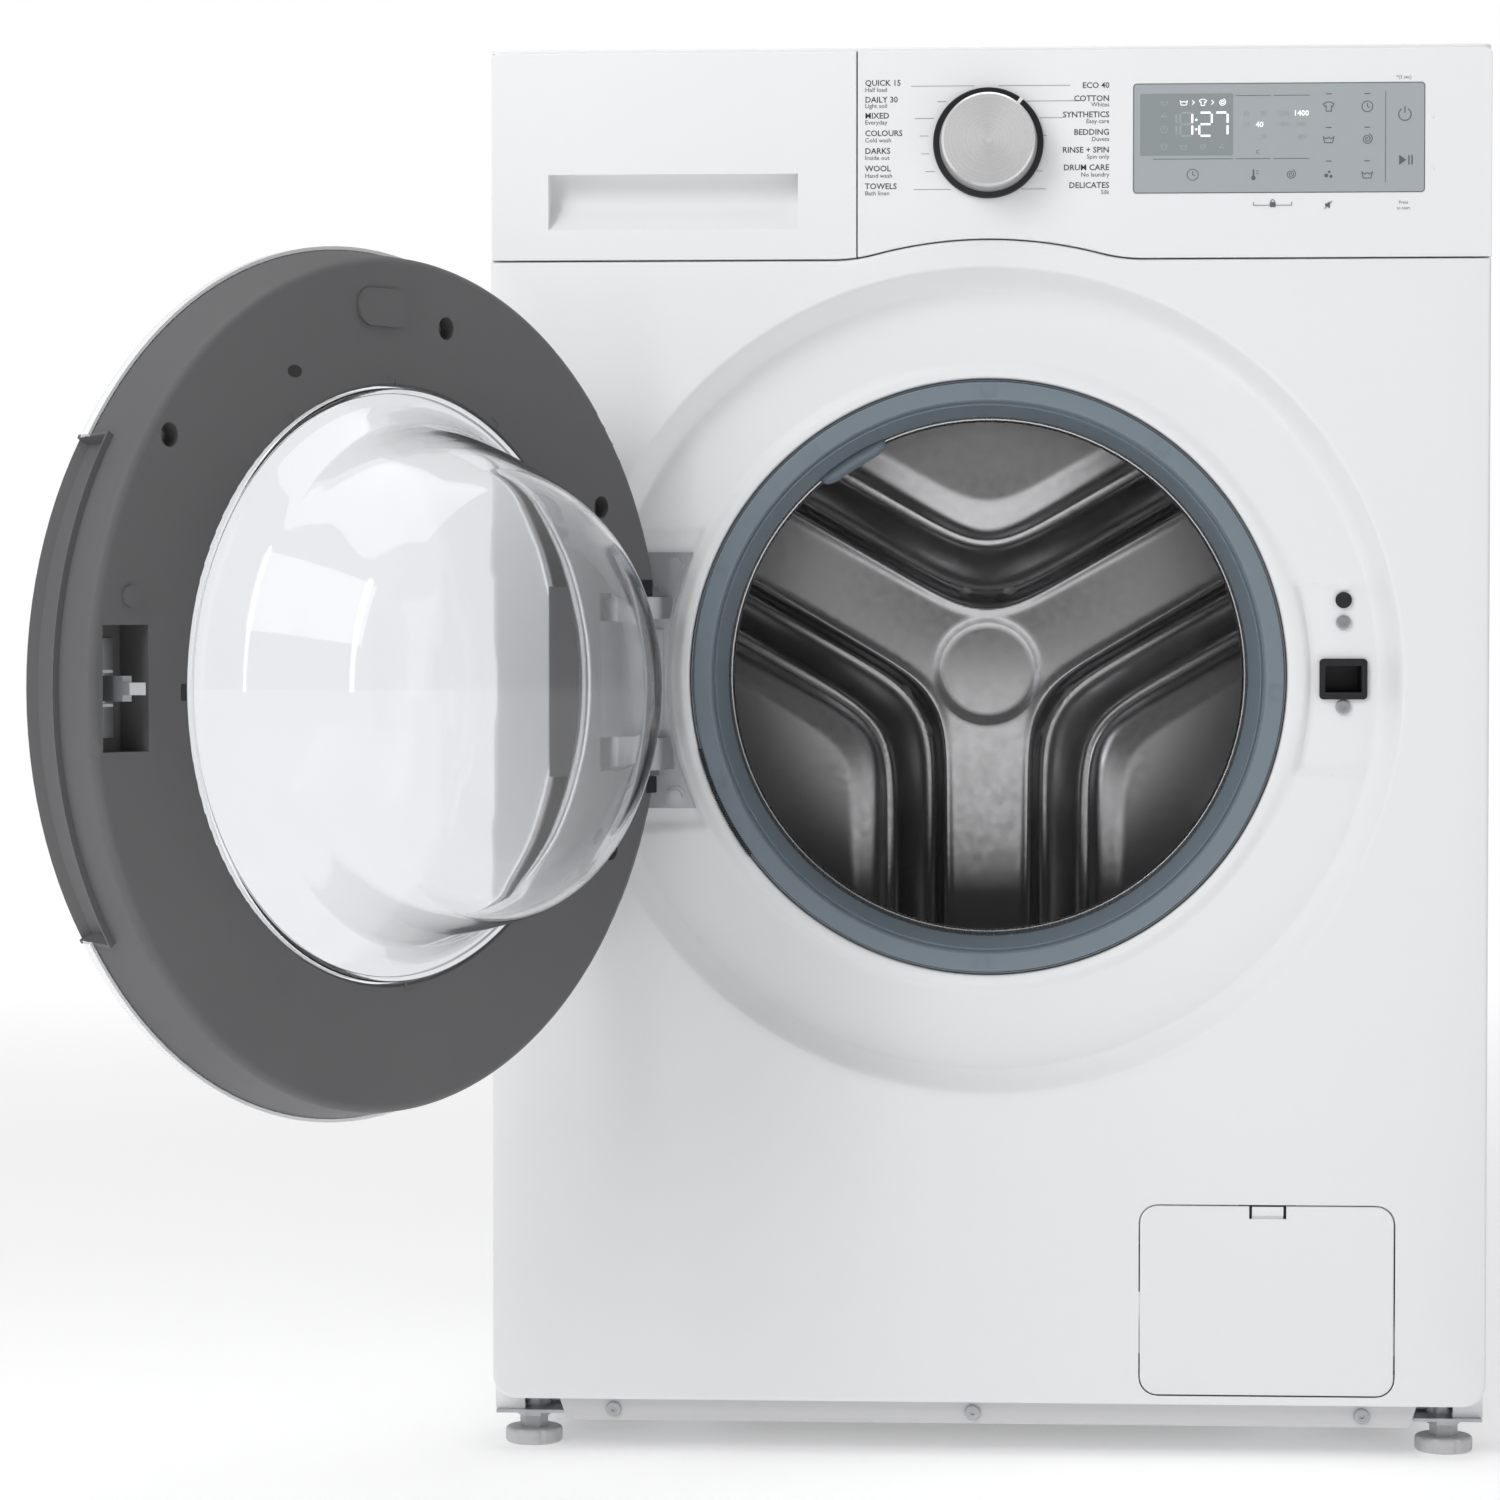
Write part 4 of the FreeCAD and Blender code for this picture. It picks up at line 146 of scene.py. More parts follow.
def lathe(profile, centreZ, turns=200, radiusChange=None):
    # x = r sin a, z = centre + r cos a, y = depth; the angle a starts at the top and goes to the right
    angle = np.linspace(0, 2 * np.pi, turns, endpoint=False)[None, :]
    radius = profile[:, :1] * mm + 0 * angle
    depth = frontY + profile[:, 1:] * mm + 0 * angle
    if radiusChange is not None:
        radius = radius + radiusChange(angle, profile[:, :1], profile[:, 1:]) * mm
    return np.stack([radius * np.sin(angle), depth, centreZ + radius * np.cos(angle)], -1)


def openDoor(points):
    # turns points of the closed door by the hinge's opening angle about its upright axis
    c, s = math.cos(openTurn), math.sin(openTurn)
    x, y = points[..., 0] - hingeAt[0], points[..., 1] - hingeAt[1]
    return np.stack([hingeAt[0] + c * x - s * y, hingeAt[1] + s * x + c * y, points[..., 2]], -1)


def eased(t):
    # 0 below 0, 1 above 1, and 3t^2 - 2t^3 in between
    t = np.clip(t, 0, 1)
    return t * t * (3 - 2 * t)


def onFront(u, v, depth):
    # a flat drawing on the cabinet's front: u across, v up, depth behind the front plane, all in mm
    return np.stack([u * mm, frontY + depth * mm + 0 * u, v * mm], -1)


windowDepth = (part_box("display_window")[0].y - frontY) / mm


def onWindow(u, v, depth):
    # the same on the display window's outer face
    return onFront(u, v, depth + windowDepth)


def onDoor(u, v, depth):
    # the same on the door's inner face, whose centre is (0, 0), then opened
    return openDoor(np.stack([u * mm, flatY - depth * mm + 0 * u, doorZ + v * mm], -1))


def stroke(path, width, low, high, place, closed=False):
    # a flat strip of the given width that follows a line, between two depths; corners are mitred
    path = np.asarray(path, float)
    count = len(path)
    if closed:
        ahead, back = np.roll(path, -1, 0) - path, path - np.roll(path, 1, 0)
    else:
        runs = np.diff(path, axis=0)
        ahead, back = np.vstack([runs, runs[-1:]]), np.vstack([runs[:1], runs])
    ahead = ahead / np.linalg.norm(ahead, axis=1)[:, None]
    back = back / np.linalg.norm(back, axis=1)[:, None]
    mean = ahead + back
    mean = mean / np.linalg.norm(mean, axis=1)[:, None]
    grow = 1 / np.clip((mean * ahead).sum(1), 0.5, 1)
    side = np.stack([-mean[:, 1], mean[:, 0]], 1) * (grow * width / 2)[:, None]
    rails = [(path + side, low), (path + side, high), (path - side, high), (path - side, low)]
    points = np.concatenate([place(p[:, 0], p[:, 1], d) for p, d in rails])
    faces = gridFaces(4, count, closeRows=True, closeCols=closed).tolist()
    if not closed:
        last = count - 1
        faces += [[0, count, 2 * count, 3 * count], [last + 3 * count, last + 2 * count, last + count, last]]
    return points, faces


def joinParts(parts):
    points, faces, base = [], [], 0
    for partPoints, partFaces in parts:
        points.append(partPoints)
        faces += [[base + k for k in face] for face in partFaces]
        base += len(partPoints)
    return np.concatenate(points), faces


def arc(x, z, radius, start, end, count=24):
    # points round (x, z) from one angle to another, in degrees from the right towards the top
    a = np.radians(np.linspace(start, end, count))
    return np.stack([x + radius * np.cos(a), z + radius * np.sin(a)], 1)


def roundedRect(x0, x1, z0, z1, radius):
    corners = [(x1 - radius, z1 - radius, 0), (x0 + radius, z1 - radius, 90),
               (x0 + radius, z0 + radius, 180), (x1 - radius, z0 + radius, 270)]
    return np.concatenate([arc(x, z, radius, a, a + 90, 6) for x, z, a in corners])


def plate(outline, low, high, place):
    # a flat plate with this outline, between two depths
    outline = np.asarray(outline, float)
    count = len(outline)
    points = np.concatenate([place(outline[:, 0], outline[:, 1], d) for d in (low, high)])
    faces = gridFaces(2, count, closeCols=True).tolist()
    return points, faces + [list(range(count))[::-1], list(range(count, 2 * count))]


def written(words, size, x, z, align="LEFT", bold=0.0, face=0.0):
    # a word as a thin raised print on a face at this depth; its middle height is z
    curve = bpy.data.curves.new("word", "FONT")
    curve.body, curve.size, curve.align_x = words, size * mm, align
    curve.resolution_u, curve.extrude, curve.offset = 2, 0.04 * mm, bold * mm
    holder = bpy.data.objects.new("word", curve)
    bpy.context.scene.collection.objects.link(holder)
    mesh = bpy.data.meshes.new_from_object(holder.evaluated_get(bpy.context.evaluated_depsgraph_get()))
    flat = np.empty(len(mesh.vertices) * 3)
    mesh.vertices.foreach_get("co", flat)
    flat = flat.reshape(-1, 3)
    faces = [list(p.vertices) for p in mesh.polygons]
    bpy.data.objects.remove(holder)
    bpy.data.meshes.remove(mesh)
    middle = 0.36 * size * mm
    depth = frontY + (face - 0.06) * mm - flat[:, 2]
    points = np.stack([x * mm + flat[:, 0], depth, z * mm + flat[:, 1] - middle], 1)
    return points, faces


def finishPiece(piece, material, body=None):
    piece.data.materials.clear()
    piece.data.materials.append(material)
    if body:
        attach(piece, body)
    return piece


# ---- effects that several finishes share, as node groups
def newGroup(name, inputs, outputs):
    group = bpy.data.node_groups.new(name, "ShaderNodeTree")
    for socket, kind, value in inputs:
        made = group.interface.new_socket(socket, in_out="INPUT", socket_type=kind)
        made.default_value = value
    for socket, kind in outputs:
        group.interface.new_socket(socket, in_out="OUTPUT", socket_type=kind)
    tree = group.nodes
    return group, tree, group.links, tree.new("NodeGroupInput"), tree.new("NodeGroupOutput")


def mathNode(tree, links, kind, first, second=None):
    node = tree.new("ShaderNodeMath")
    node.operation = kind
    for socket, value in zip(node.inputs, (first, second)):
        if value is None:
            continue
        if isinstance(value, (int, float)):
            socket.default_value = value
        else:
            links.new(value, socket)
    return node.outputs[0]


def rangeNode(tree, links, value, low, high, toLow, toHigh):
    node = tree.new("ShaderNodeMapRange")
    for socket, given in zip(node.inputs, (value, low, high, toLow, toHigh)):
        if isinstance(given, (int, float)):
            socket.default_value = given
        else:
            links.new(given, socket)
    return node.outputs[0]


def noiseNode(tree, links, vector, scale, detail=2.0):
    node = tree.new("ShaderNodeTexNoise")
    links.new(vector, node.inputs["Vector"])
    node.inputs["Detail"].default_value = detail
    if isinstance(scale, (int, float)):
        node.inputs["Scale"].default_value = scale
    else:
        links.new(scale, node.inputs["Scale"])
    return node.outputs["Fac"]


def mixColors(tree, links, share, first, second, blend="MIX"):
    node = tree.new("ShaderNodeMix")
    node.data_type, node.blend_type = "RGBA", blend
    for socket, value in zip((node.inputs[0], node.inputs[6], node.inputs[7]), (share, first, second)):
        if isinstance(value, (int, float, tuple)):
            socket.default_value = value
        else:
            links.new(value, socket)
    return node.outputs[2]


def buildMouldedGroup():
    # moulded or painted skin: a fine grain in the height, slow clouds in colour and roughness
    group, tree, links, given, out = newGroup(
        "mouldedSkin",
        [("Base", "NodeSocketColor", (0.8, 0.8, 0.8, 1)), ("Grain Scale", "NodeSocketFloat", 900.0),
         ("Cloud Scale", "NodeSocketFloat", 6.0), ("Cloud Tone", "NodeSocketFloat", 0.03),
         ("Rough Low", "NodeSocketFloat", 0.3), ("Rough High", "NodeSocketFloat", 0.4)],
        [("Color", "NodeSocketColor"), ("Roughness", "NodeSocketFloat"), ("Height", "NodeSocketFloat")])
    place = tree.new("ShaderNodeTexCoord").outputs["Object"]
    grain = noiseNode(tree, links, place, given.outputs["Grain Scale"], 3.0)
    cloud = noiseNode(tree, links, place, given.outputs["Cloud Scale"], 4.0)
    darker = mixColors(tree, links, 1.0, given.outputs["Base"], (0.55, 0.56, 0.58, 1), "MULTIPLY")
    share = mathNode(tree, links, "MULTIPLY", cloud, given.outputs["Cloud Tone"])
    links.new(mixColors(tree, links, share, given.outputs["Base"], darker), out.inputs["Color"])
    links.new(rangeNode(tree, links, cloud, 0.3, 0.7, given.outputs["Rough Low"], given.outputs["Rough High"]),
              out.inputs["Roughness"])
    links.new(grain, out.inputs["Height"])
    return group


def buildBrushedGroup():
    # brushed or rolled metal: noise drawn out along one direction, with a soft cloud over it
    group, tree, links, given, out = newGroup(
        "brushedMetal",
        [("Base", "NodeSocketColor", (0.6, 0.6, 0.6, 1)), ("Stretch", "NodeSocketVector", (20.0, 20.0, 1500.0)),
         ("Tone", "NodeSocketFloat", 0.2), ("Rough Low", "NodeSocketFloat", 0.2), ("Rough High",
                                                                                   "NodeSocketFloat", 0.4)],
        [("Color", "NodeSocketColor"), ("Roughness", "NodeSocketFloat"), ("Height", "NodeSocketFloat")])
    place = tree.new("ShaderNodeTexCoord").outputs["Object"]
    drawn = tree.new("ShaderNodeVectorMath")
    drawn.operation = "MULTIPLY"
    links.new(place, drawn.inputs[0])
    links.new(given.outputs["Stretch"], drawn.inputs[1])
    lines = noiseNode(tree, links, drawn.outputs[0], 1.0, 4.0)
    cloud = noiseNode(tree, links, place, 9.0, 3.0)
    both = mathNode(tree, links, "ADD", mathNode(tree, links, "MULTIPLY", lines, 0.7),
                    mathNode(tree, links, "MULTIPLY", cloud, 0.3))
    darker = mixColors(tree, links, 1.0, given.outputs["Base"], (0.4, 0.4, 0.42, 1), "MULTIPLY")
    share = mathNode(tree, links, "MULTIPLY", both, given.outputs["Tone"])
    links.new(mixColors(tree, links, share, given.outputs["Base"], darker), out.inputs["Color"])
    links.new(rangeNode(tree, links, both, 0.35, 0.65, given.outputs["Rough Low"], given.outputs["Rough High"]),
              out.inputs["Roughness"])
    links.new(lines, out.inputs["Height"])
    return group


def buildHolesGroup():
    # where the drum's small drain holes are painted near-black as shade: a staggered pattern in turn angle and depth
    # about the drum's axis
    group, tree, links, given, out = newGroup(
        "drainHoleShade",
        [("Axis Height", "NodeSocketFloat", 0.47), ("Wall Radius", "NodeSocketFloat", 0.24),
         ("Pitch", "NodeSocketFloat", 0.016), ("Hole", "NodeSocketFloat", 0.0016)],
        [("Mask", "NodeSocketFloat")])
    split = tree.new("ShaderNodeSeparateXYZ")
    links.new(tree.new("ShaderNodeTexCoord").outputs["Object"], split.inputs[0])
    up = mathNode(tree, links, "SUBTRACT", split.outputs["Z"], given.outputs["Axis Height"])
    turn = mathNode(tree, links, "ARCTAN2", split.outputs["X"], up)
    along = mathNode(tree, links, "MULTIPLY", turn, given.outputs["Wall Radius"])
    u = mathNode(tree, links, "DIVIDE", along, given.outputs["Pitch"])
    v = mathNode(tree, links, "DIVIDE", split.outputs["Y"], given.outputs["Pitch"])
    near = []
    for shift in (0.0, 0.5):
        du = mathNode(tree, links, "SUBTRACT", mathNode(tree, links, "FRACT", mathNode(tree, links, "ADD", u,
                                                                                       shift)), 0.5)
        dv = mathNode(tree, links, "SUBTRACT", mathNode(tree, links, "FRACT", mathNode(tree, links, "ADD", v,
                                                                                       shift)), 0.5)
        squares = mathNode(tree, links, "ADD", mathNode(tree, links, "MULTIPLY", du, du),
                           mathNode(tree, links, "MULTIPLY", dv, dv))
        near.append(mathNode(tree, links, "SQRT", squares))
    distance = mathNode(tree, links, "MULTIPLY", mathNode(tree, links, "MINIMUM", *near), given.outputs["Pitch"])
    squares = mathNode(tree, links, "ADD", mathNode(tree, links, "MULTIPLY", up, up),
                       mathNode(tree, links, "MULTIPLY", split.outputs["X"], split.outputs["X"]))
    inner = mathNode(tree, links, "MULTIPLY", given.outputs["Wall Radius"], 0.985)
    onWall = mathNode(tree, links, "GREATER_THAN", mathNode(tree, links, "SQRT", squares), inner)
    hole = mathNode(tree, links, "LESS_THAN", distance, given.outputs["Hole"])
    links.new(mathNode(tree, links, "MULTIPLY", hole, onWall), out.inputs["Mask"])
    return group


def buildDustGroup():
    # a little settled dust on faces that look up
    group, tree, links, given, out = newGroup(
        "settledDust", [("Base", "NodeSocketColor", (0.8, 0.8, 0.8, 1)), ("Amount", "NodeSocketFloat", 0.1)],
        [("Color", "NodeSocketColor")])
    split = tree.new("ShaderNodeSeparateXYZ")
    links.new(tree.new("ShaderNodeNewGeometry").outputs["Normal"], split.inputs[0])
    up = rangeNode(tree, links, split.outputs["Z"], 0.5, 1.0, 0.0, 1.0)
    cloud = noiseNode(tree, links, tree.new("ShaderNodeTexCoord").outputs["Object"], 40.0, 5.0)
    share = mathNode(tree, links, "MULTIPLY", mathNode(tree, links, "MULTIPLY", up, cloud), given.outputs["Amount"])
    links.new(mixColors(tree, links, share, given.outputs["Base"], (0.42, 0.4, 0.37, 1)), out.inputs["Color"])
    return group


moulded, brushed, drainHoleShade, dust = buildMouldedGroup(), buildBrushedGroup(), buildHolesGroup(), buildDustGroup()
print("effects built")


# ---- finishes, one for each material slot of the record
def newFinish(name, metallic=0.0, **plain):
    material = bpy.data.materials.new(name)
    material.use_nodes = True
    tree, links = material.node_tree.nodes, material.node_tree.links
    shader = tree["Principled BSDF"]
    shader.inputs["Metallic"].default_value = metallic
    for socket, value in plain.items():
        shader.inputs[socket.replace("_", " ")].default_value = value
    return material, tree, links, shader


def skinFinish(name, base, grain=900.0, cloud=6.0, tone=0.06, rough=(0.3, 0.4), bump=0.05, reach=0.1, dusty=0.0,
               metallic=0.0, **plain):
    # moulded plastic, rubber, paint and castings
    material, tree, links, shader = newFinish(name, metallic, **plain)
    skin = tree.new("ShaderNodeGroup")
    skin.node_tree = moulded
    for socket, value in (("Base", (*base, 1)), ("Grain Scale", grain), ("Cloud Scale", cloud), ("Cloud Tone", tone),
                          ("Rough Low", rough[0]), ("Rough High", rough[1])):
        skin.inputs[socket].default_value = value
    color = skin.outputs["Color"]
    if dusty:
        layer = tree.new("ShaderNodeGroup")
        layer.node_tree = dust
        layer.inputs["Amount"].default_value = dusty
        links.new(color, layer.inputs["Base"])
        color = layer.outputs["Color"]
    links.new(color, shader.inputs["Base Color"])
    links.new(skin.outputs["Roughness"], shader.inputs["Roughness"])
    addBump(tree, links, shader, skin.outputs["Height"], bump, reach)
    return material


def metalFinish(name, base, stretch, tone=0.2, rough=(0.2, 0.35), bump=0.05, reach=0.05, **plain):
    # brushed, rolled or plated metal
    material, tree, links, shader = newFinish(name, 1.0, **plain)
    metal = tree.new("ShaderNodeGroup")
    metal.node_tree = brushed
    for socket, value in (("Base", (*base, 1)), ("Stretch", stretch), ("Tone", tone),
                          ("Rough Low", rough[0]), ("Rough High", rough[1])):
        metal.inputs[socket].default_value = value
    links.new(metal.outputs["Color"], shader.inputs["Base Color"])
    links.new(metal.outputs["Roughness"], shader.inputs["Roughness"])
    addBump(tree, links, shader, metal.outputs["Height"], bump, reach)
    return material


def addBump(tree, links, shader, height, strength, reach):
    bump = tree.new("ShaderNodeBump")
    bump.inputs["Strength"].default_value = strength
    bump.inputs["Distance"].default_value = reach * mm
    links.new(height, bump.inputs["Height"])
    links.new(bump.outputs["Normal"], shader.inputs["Normal"])


def glassFinish(name, tint, rough, ior):
    # clear glass or plastic, with faint smears in its roughness
    material, tree, links, shader = newFinish(name, 0.0, Transmission_Weight=1.0, IOR=ior)
    smear = noiseNode(tree, links, tree.new("ShaderNodeTexCoord").outputs["Object"], 14.0, 4.0)
    links.new(rangeNode(tree, links, smear, 0.45, 0.8, rough[0], rough[1]), shader.inputs["Roughness"])
    shader.inputs["Base Color"].default_value = (*tint, 1)
    return material


finishes = {
    "white_enamel": skinFinish("bakedEnamel", (0.87, 0.875, 0.885), grain=420, tone=0.02, rough=(0.36, 0.39),
                               bump=0.006, dusty=0.06, Coat_Weight=0.15, Coat_Roughness=0.15),
    "white_plastic": skinFinish("whiteMoulding", (0.87, 0.875, 0.885), grain=1500, tone=0.02, rough=(0.34, 0.42),
                                bump=0.05, dusty=0.06),
    "grey_plastic": skinFinish("greyMoulding", (0.125, 0.125, 0.129), grain=2600, tone=0.25, rough=(0.5, 0.6),
                               bump=0.25),
    "dark_plastic": skinFinish("darkMoulding", (0.012, 0.012, 0.014), grain=2000, tone=0.2, rough=(0.34, 0.46),
                               bump=0.15),
    "display_glass": skinFinish("displayWindow", (0.42, 0.455, 0.475), grain=60, tone=0.04, rough=(0.1, 0.16),
                                bump=0.01, Coat_Weight=0.6, Coat_Roughness=0.04),
    "gasket_rubber": skinFinish("sealRubber", (0.19, 0.235, 0.275), grain=1800, tone=0.16, rough=(0.42, 0.54),
                                bump=0.14),
    "black_rubber": skinFinish("blackRubber", (0.014, 0.014, 0.015), grain=1200, tone=0.2, rough=(0.55, 0.7),
                               bump=0.3),
    "tub_plastic": skinFinish("filledMoulding", (0.55, 0.56, 0.55), grain=700, cloud=20, tone=0.3,
                              rough=(0.5, 0.65), bump=0.2),
    "cast_iron": skinFinish("paintedCasting", (0.05, 0.05, 0.055), grain=300, cloud=30, tone=0.4,
                            rough=(0.6, 0.8), bump=0.6, reach=0.4),
    "board": skinFinish("circuitBoard", (0.01, 0.08, 0.03), grain=900, tone=0.3, rough=(0.3, 0.4), bump=0.1),
    "motor_paint": skinFinish("motorCasting", (0.1, 0.105, 0.115), grain=500, tone=0.3, rough=(0.45, 0.6),
                              bump=0.3, metallic=0.6),
    "cast_alloy": skinFinish("blastedCasting", (0.52, 0.53, 0.55), grain=1400, cloud=30, tone=0.35,
                             rough=(0.38, 0.5), bump=0.25, metallic=0.85),
    "zinc_steel": metalFinish("zincPlate", (0.55, 0.56, 0.58), (60.0, 60.0, 60.0), tone=0.35, rough=(0.28, 0.42)),
    "stainless": metalFinish("brushedSteel", (0.6, 0.595, 0.6), (900.0, 40.0, 60.0), tone=0.18, rough=(0.24, 0.34)),
    "clear_cover": glassFinish("clearCover", (0.93, 0.95, 0.96), (0.03, 0.08), 1.47),
    "bowl_glass": glassFinish("bowlGlass", (0.9, 0.9, 0.915), (0.03, 0.07), 1.46),
}


def spunFinish():
    # a lathe-turned face: rings of fine tone round the knob's axis, and highlights that fan out across them
    material, tree, links, shader = newFinish("spunAluminium", 0.6, Anisotropic=0.75)
    split = tree.new("ShaderNodeSeparateXYZ")
    links.new(tree.new("ShaderNodeTexCoord").outputs["Object"], split.inputs[0])
    up = mathNode(tree, links, "SUBTRACT", split.outputs["Z"], float(joints["programme_knob"]["pos_m"][2]))
    squares = mathNode(tree, links, "ADD", mathNode(tree, links, "MULTIPLY", up, up),
                       mathNode(tree, links, "MULTIPLY", split.outputs["X"], split.outputs["X"]))
    reach = tree.new("ShaderNodeCombineXYZ")
    links.new(mathNode(tree, links, "SQRT", squares), reach.inputs[0])
    rings = noiseNode(tree, links, reach.outputs[0], 4200.0, 3.0)
    links.new(mixColors(tree, links, rings, (0.93, 0.93, 0.935, 1), (0.84, 0.84, 0.85, 1)),
              shader.inputs["Base Color"])
    links.new(rangeNode(tree, links, rings, 0.3, 0.7, 0.24, 0.34), shader.inputs["Roughness"])
    addBump(tree, links, shader, rings, 0.05, 0.05)
    tangent = tree.new("ShaderNodeTangent")
    tangent.direction_type, tangent.axis = "RADIAL", "Y"
    links.new(tangent.outputs[0], shader.inputs["Tangent"])
    return material


def perforatedFinish(name, wallRadius):
    # the drum's wall: brushed steel with its drain holes painted near-black, painted shade in place of real openings
    made = finishes["stainless"].copy()
    made.name = name
    tree, links = made.node_tree.nodes, made.node_tree.links
    shader = tree["Principled BSDF"]
    metal = next(node for node in tree if node.type == "GROUP")
    holes = tree.new("ShaderNodeGroup")
    holes.node_tree = drainHoleShade
    holes.inputs["Axis Height"].default_value = drumZ
    holes.inputs["Wall Radius"].default_value = wallRadius * mm
    holes.inputs["Pitch"].default_value = 2 * math.pi * wallRadius * mm / 90
    holes.inputs["Hole"].default_value = 0.0017
    # painted shade: near-black dots where the drain holes are
    color = mixColors(tree, links, holes.outputs["Mask"], metal.outputs["Color"], (0.01, 0.01, 0.01, 1))
    links.new(color, shader.inputs["Base Color"])
    return made


finishes["brushed_aluminium"] = spunFinish()
drumWallFinish = perforatedFinish("drumSteelHoleShade", 243.8)
footFinish = skinFinish("footMoulding", (0.6, 0.6, 0.61), grain=1500, tone=0.1, rough=(0.4, 0.5), bump=0.08)
kickFinish = skinFinish("kickMoulding", (0.66, 0.66, 0.67), grain=1500, tone=0.05, rough=(0.4, 0.5), bump=0.04)
printDark = skinFinish("printDark", (0.045, 0.045, 0.05), grain=800, tone=0.1, rough=(0.45, 0.55), bump=0.02)
printGrey = skinFinish("printGrey", (0.12, 0.14, 0.15), grain=800, tone=0.1, rough=(0.4, 0.5), bump=0.02)
printFaint = skinFinish("printFaint", (0.36, 0.395, 0.41), grain=800, tone=0.1, rough=(0.4, 0.5), bump=0.02)
printShade = skinFinish("printShade", (0.3, 0.33, 0.335), grain=800, tone=0.05, rough=(0.12, 0.18), bump=0.01)
printWhite = skinFinish("printWhite", (0.9, 0.9, 0.9), grain=800, tone=0.02, rough=(0.4, 0.5), bump=0.02)
printWhite.node_tree.nodes["Principled BSDF"].inputs["Emission Color"].default_value = (1, 1, 1, 1)
printWhite.node_tree.nodes["Principled BSDF"].inputs["Emission Strength"].default_value = 0.55
special = {"drum_shell": drumWallFinish, "kick_strip": kickFinish}
special.update({"foot_" + place: footFinish for place in ("front_left", "front_right", "rear_left", "rear_right")})
slotOf = {part["node"]: part["material_slot"] for part in frame["record"]["subparts"]}
for name, node in frame["nodes"].items():
    node.data.materials.clear()
    node.data.materials.append(special.get(name, finishes[slotOf[name]]))
print("finishes given to", len(slotOf), "CAD nodes")


# ---- front panel: flat steel with a soft dish round the door, pads for the hinge and the lock, and a neck
panel = {"split": 722.4, "archRadius": 265.0, "archBlend": 100.0, "halfWidth": 300.0, "bottom": 32.5, "corner": 14.0,
         "dish": 250.0, "wallFoot": 235.0, "floor": 23.0, "neck": 181.0, "step": 19.5, "pad": 3.0, "hingePad": 90.0,
         "lockPad": 56.0, "softness": 5.0, "fold": 3.0, "flange": 44.0, "sheet": 1.2, "turns": 440,
         "rimRound": 2.0, "rimTop": 4.0, "foot": 8.0, "lockFoot": 6.0, "lockSpread": 0.42, "padStart": 192.0,
         "padEnd": 247.0, "padSide": 120.0, "centreFrom": 190.0, "centreOver": 40.0,
         "flap": (91.6, 245.4, 38.1, 154.2, 11.5), "lock": (201.5, 226.5, 461.5, 479.5)}


def archTop(x):
    # height of the split line: flat, then a hollow blend, then an arch round the door's centre
    big, small = panel["archRadius"], panel["archBlend"]
    rise = panel["split"] - doorZ / mm
    blend = math.sqrt((big + small) ** 2 - (rise + small) ** 2)
    touch = blend * big / (big + small)
    x = np.abs(x)
    hollow = panel["split"] + small - np.sqrt(np.clip(small**2 - (blend - x) ** 2, 0, None))
    arch = doorZ / mm + np.sqrt(np.clip(big**2 - x**2, 0, None))
    return np.where(x < touch, arch, np.where(x < blend, hollow, panel["split"]))


def panelOutline():
    # distance from the door's centre to the panel's edge, for each angle from the top
    half, low, corner = panel["halfWidth"], panel["bottom"], panel["corner"]
    across = np.linspace(-half, half, 1500)
    top = np.stack([across, archTop(across)], 1)
    right = np.stack([np.full(400, half), np.linspace(panel["split"], low + corner, 400)], 1)
    left = right[::-1] * (-1, 1)
    flat = np.linspace(half - corner, corner - half, 900)
    bottom = np.concatenate([arc(half - corner, low + corner, corner, 0, -90, 40),
                             np.stack([flat, np.full(900, low)], 1),
                             arc(-half + corner, low + corner, corner, -90, -180, 40)])
    line = np.concatenate([top, right, bottom, left])
    angle = np.arctan2(line[:, 0], line[:, 1] - doorZ / mm)
    order = np.argsort(angle)
    return angle[order], np.hypot(line[:, 0], line[:, 1] - doorZ / mm)[order]


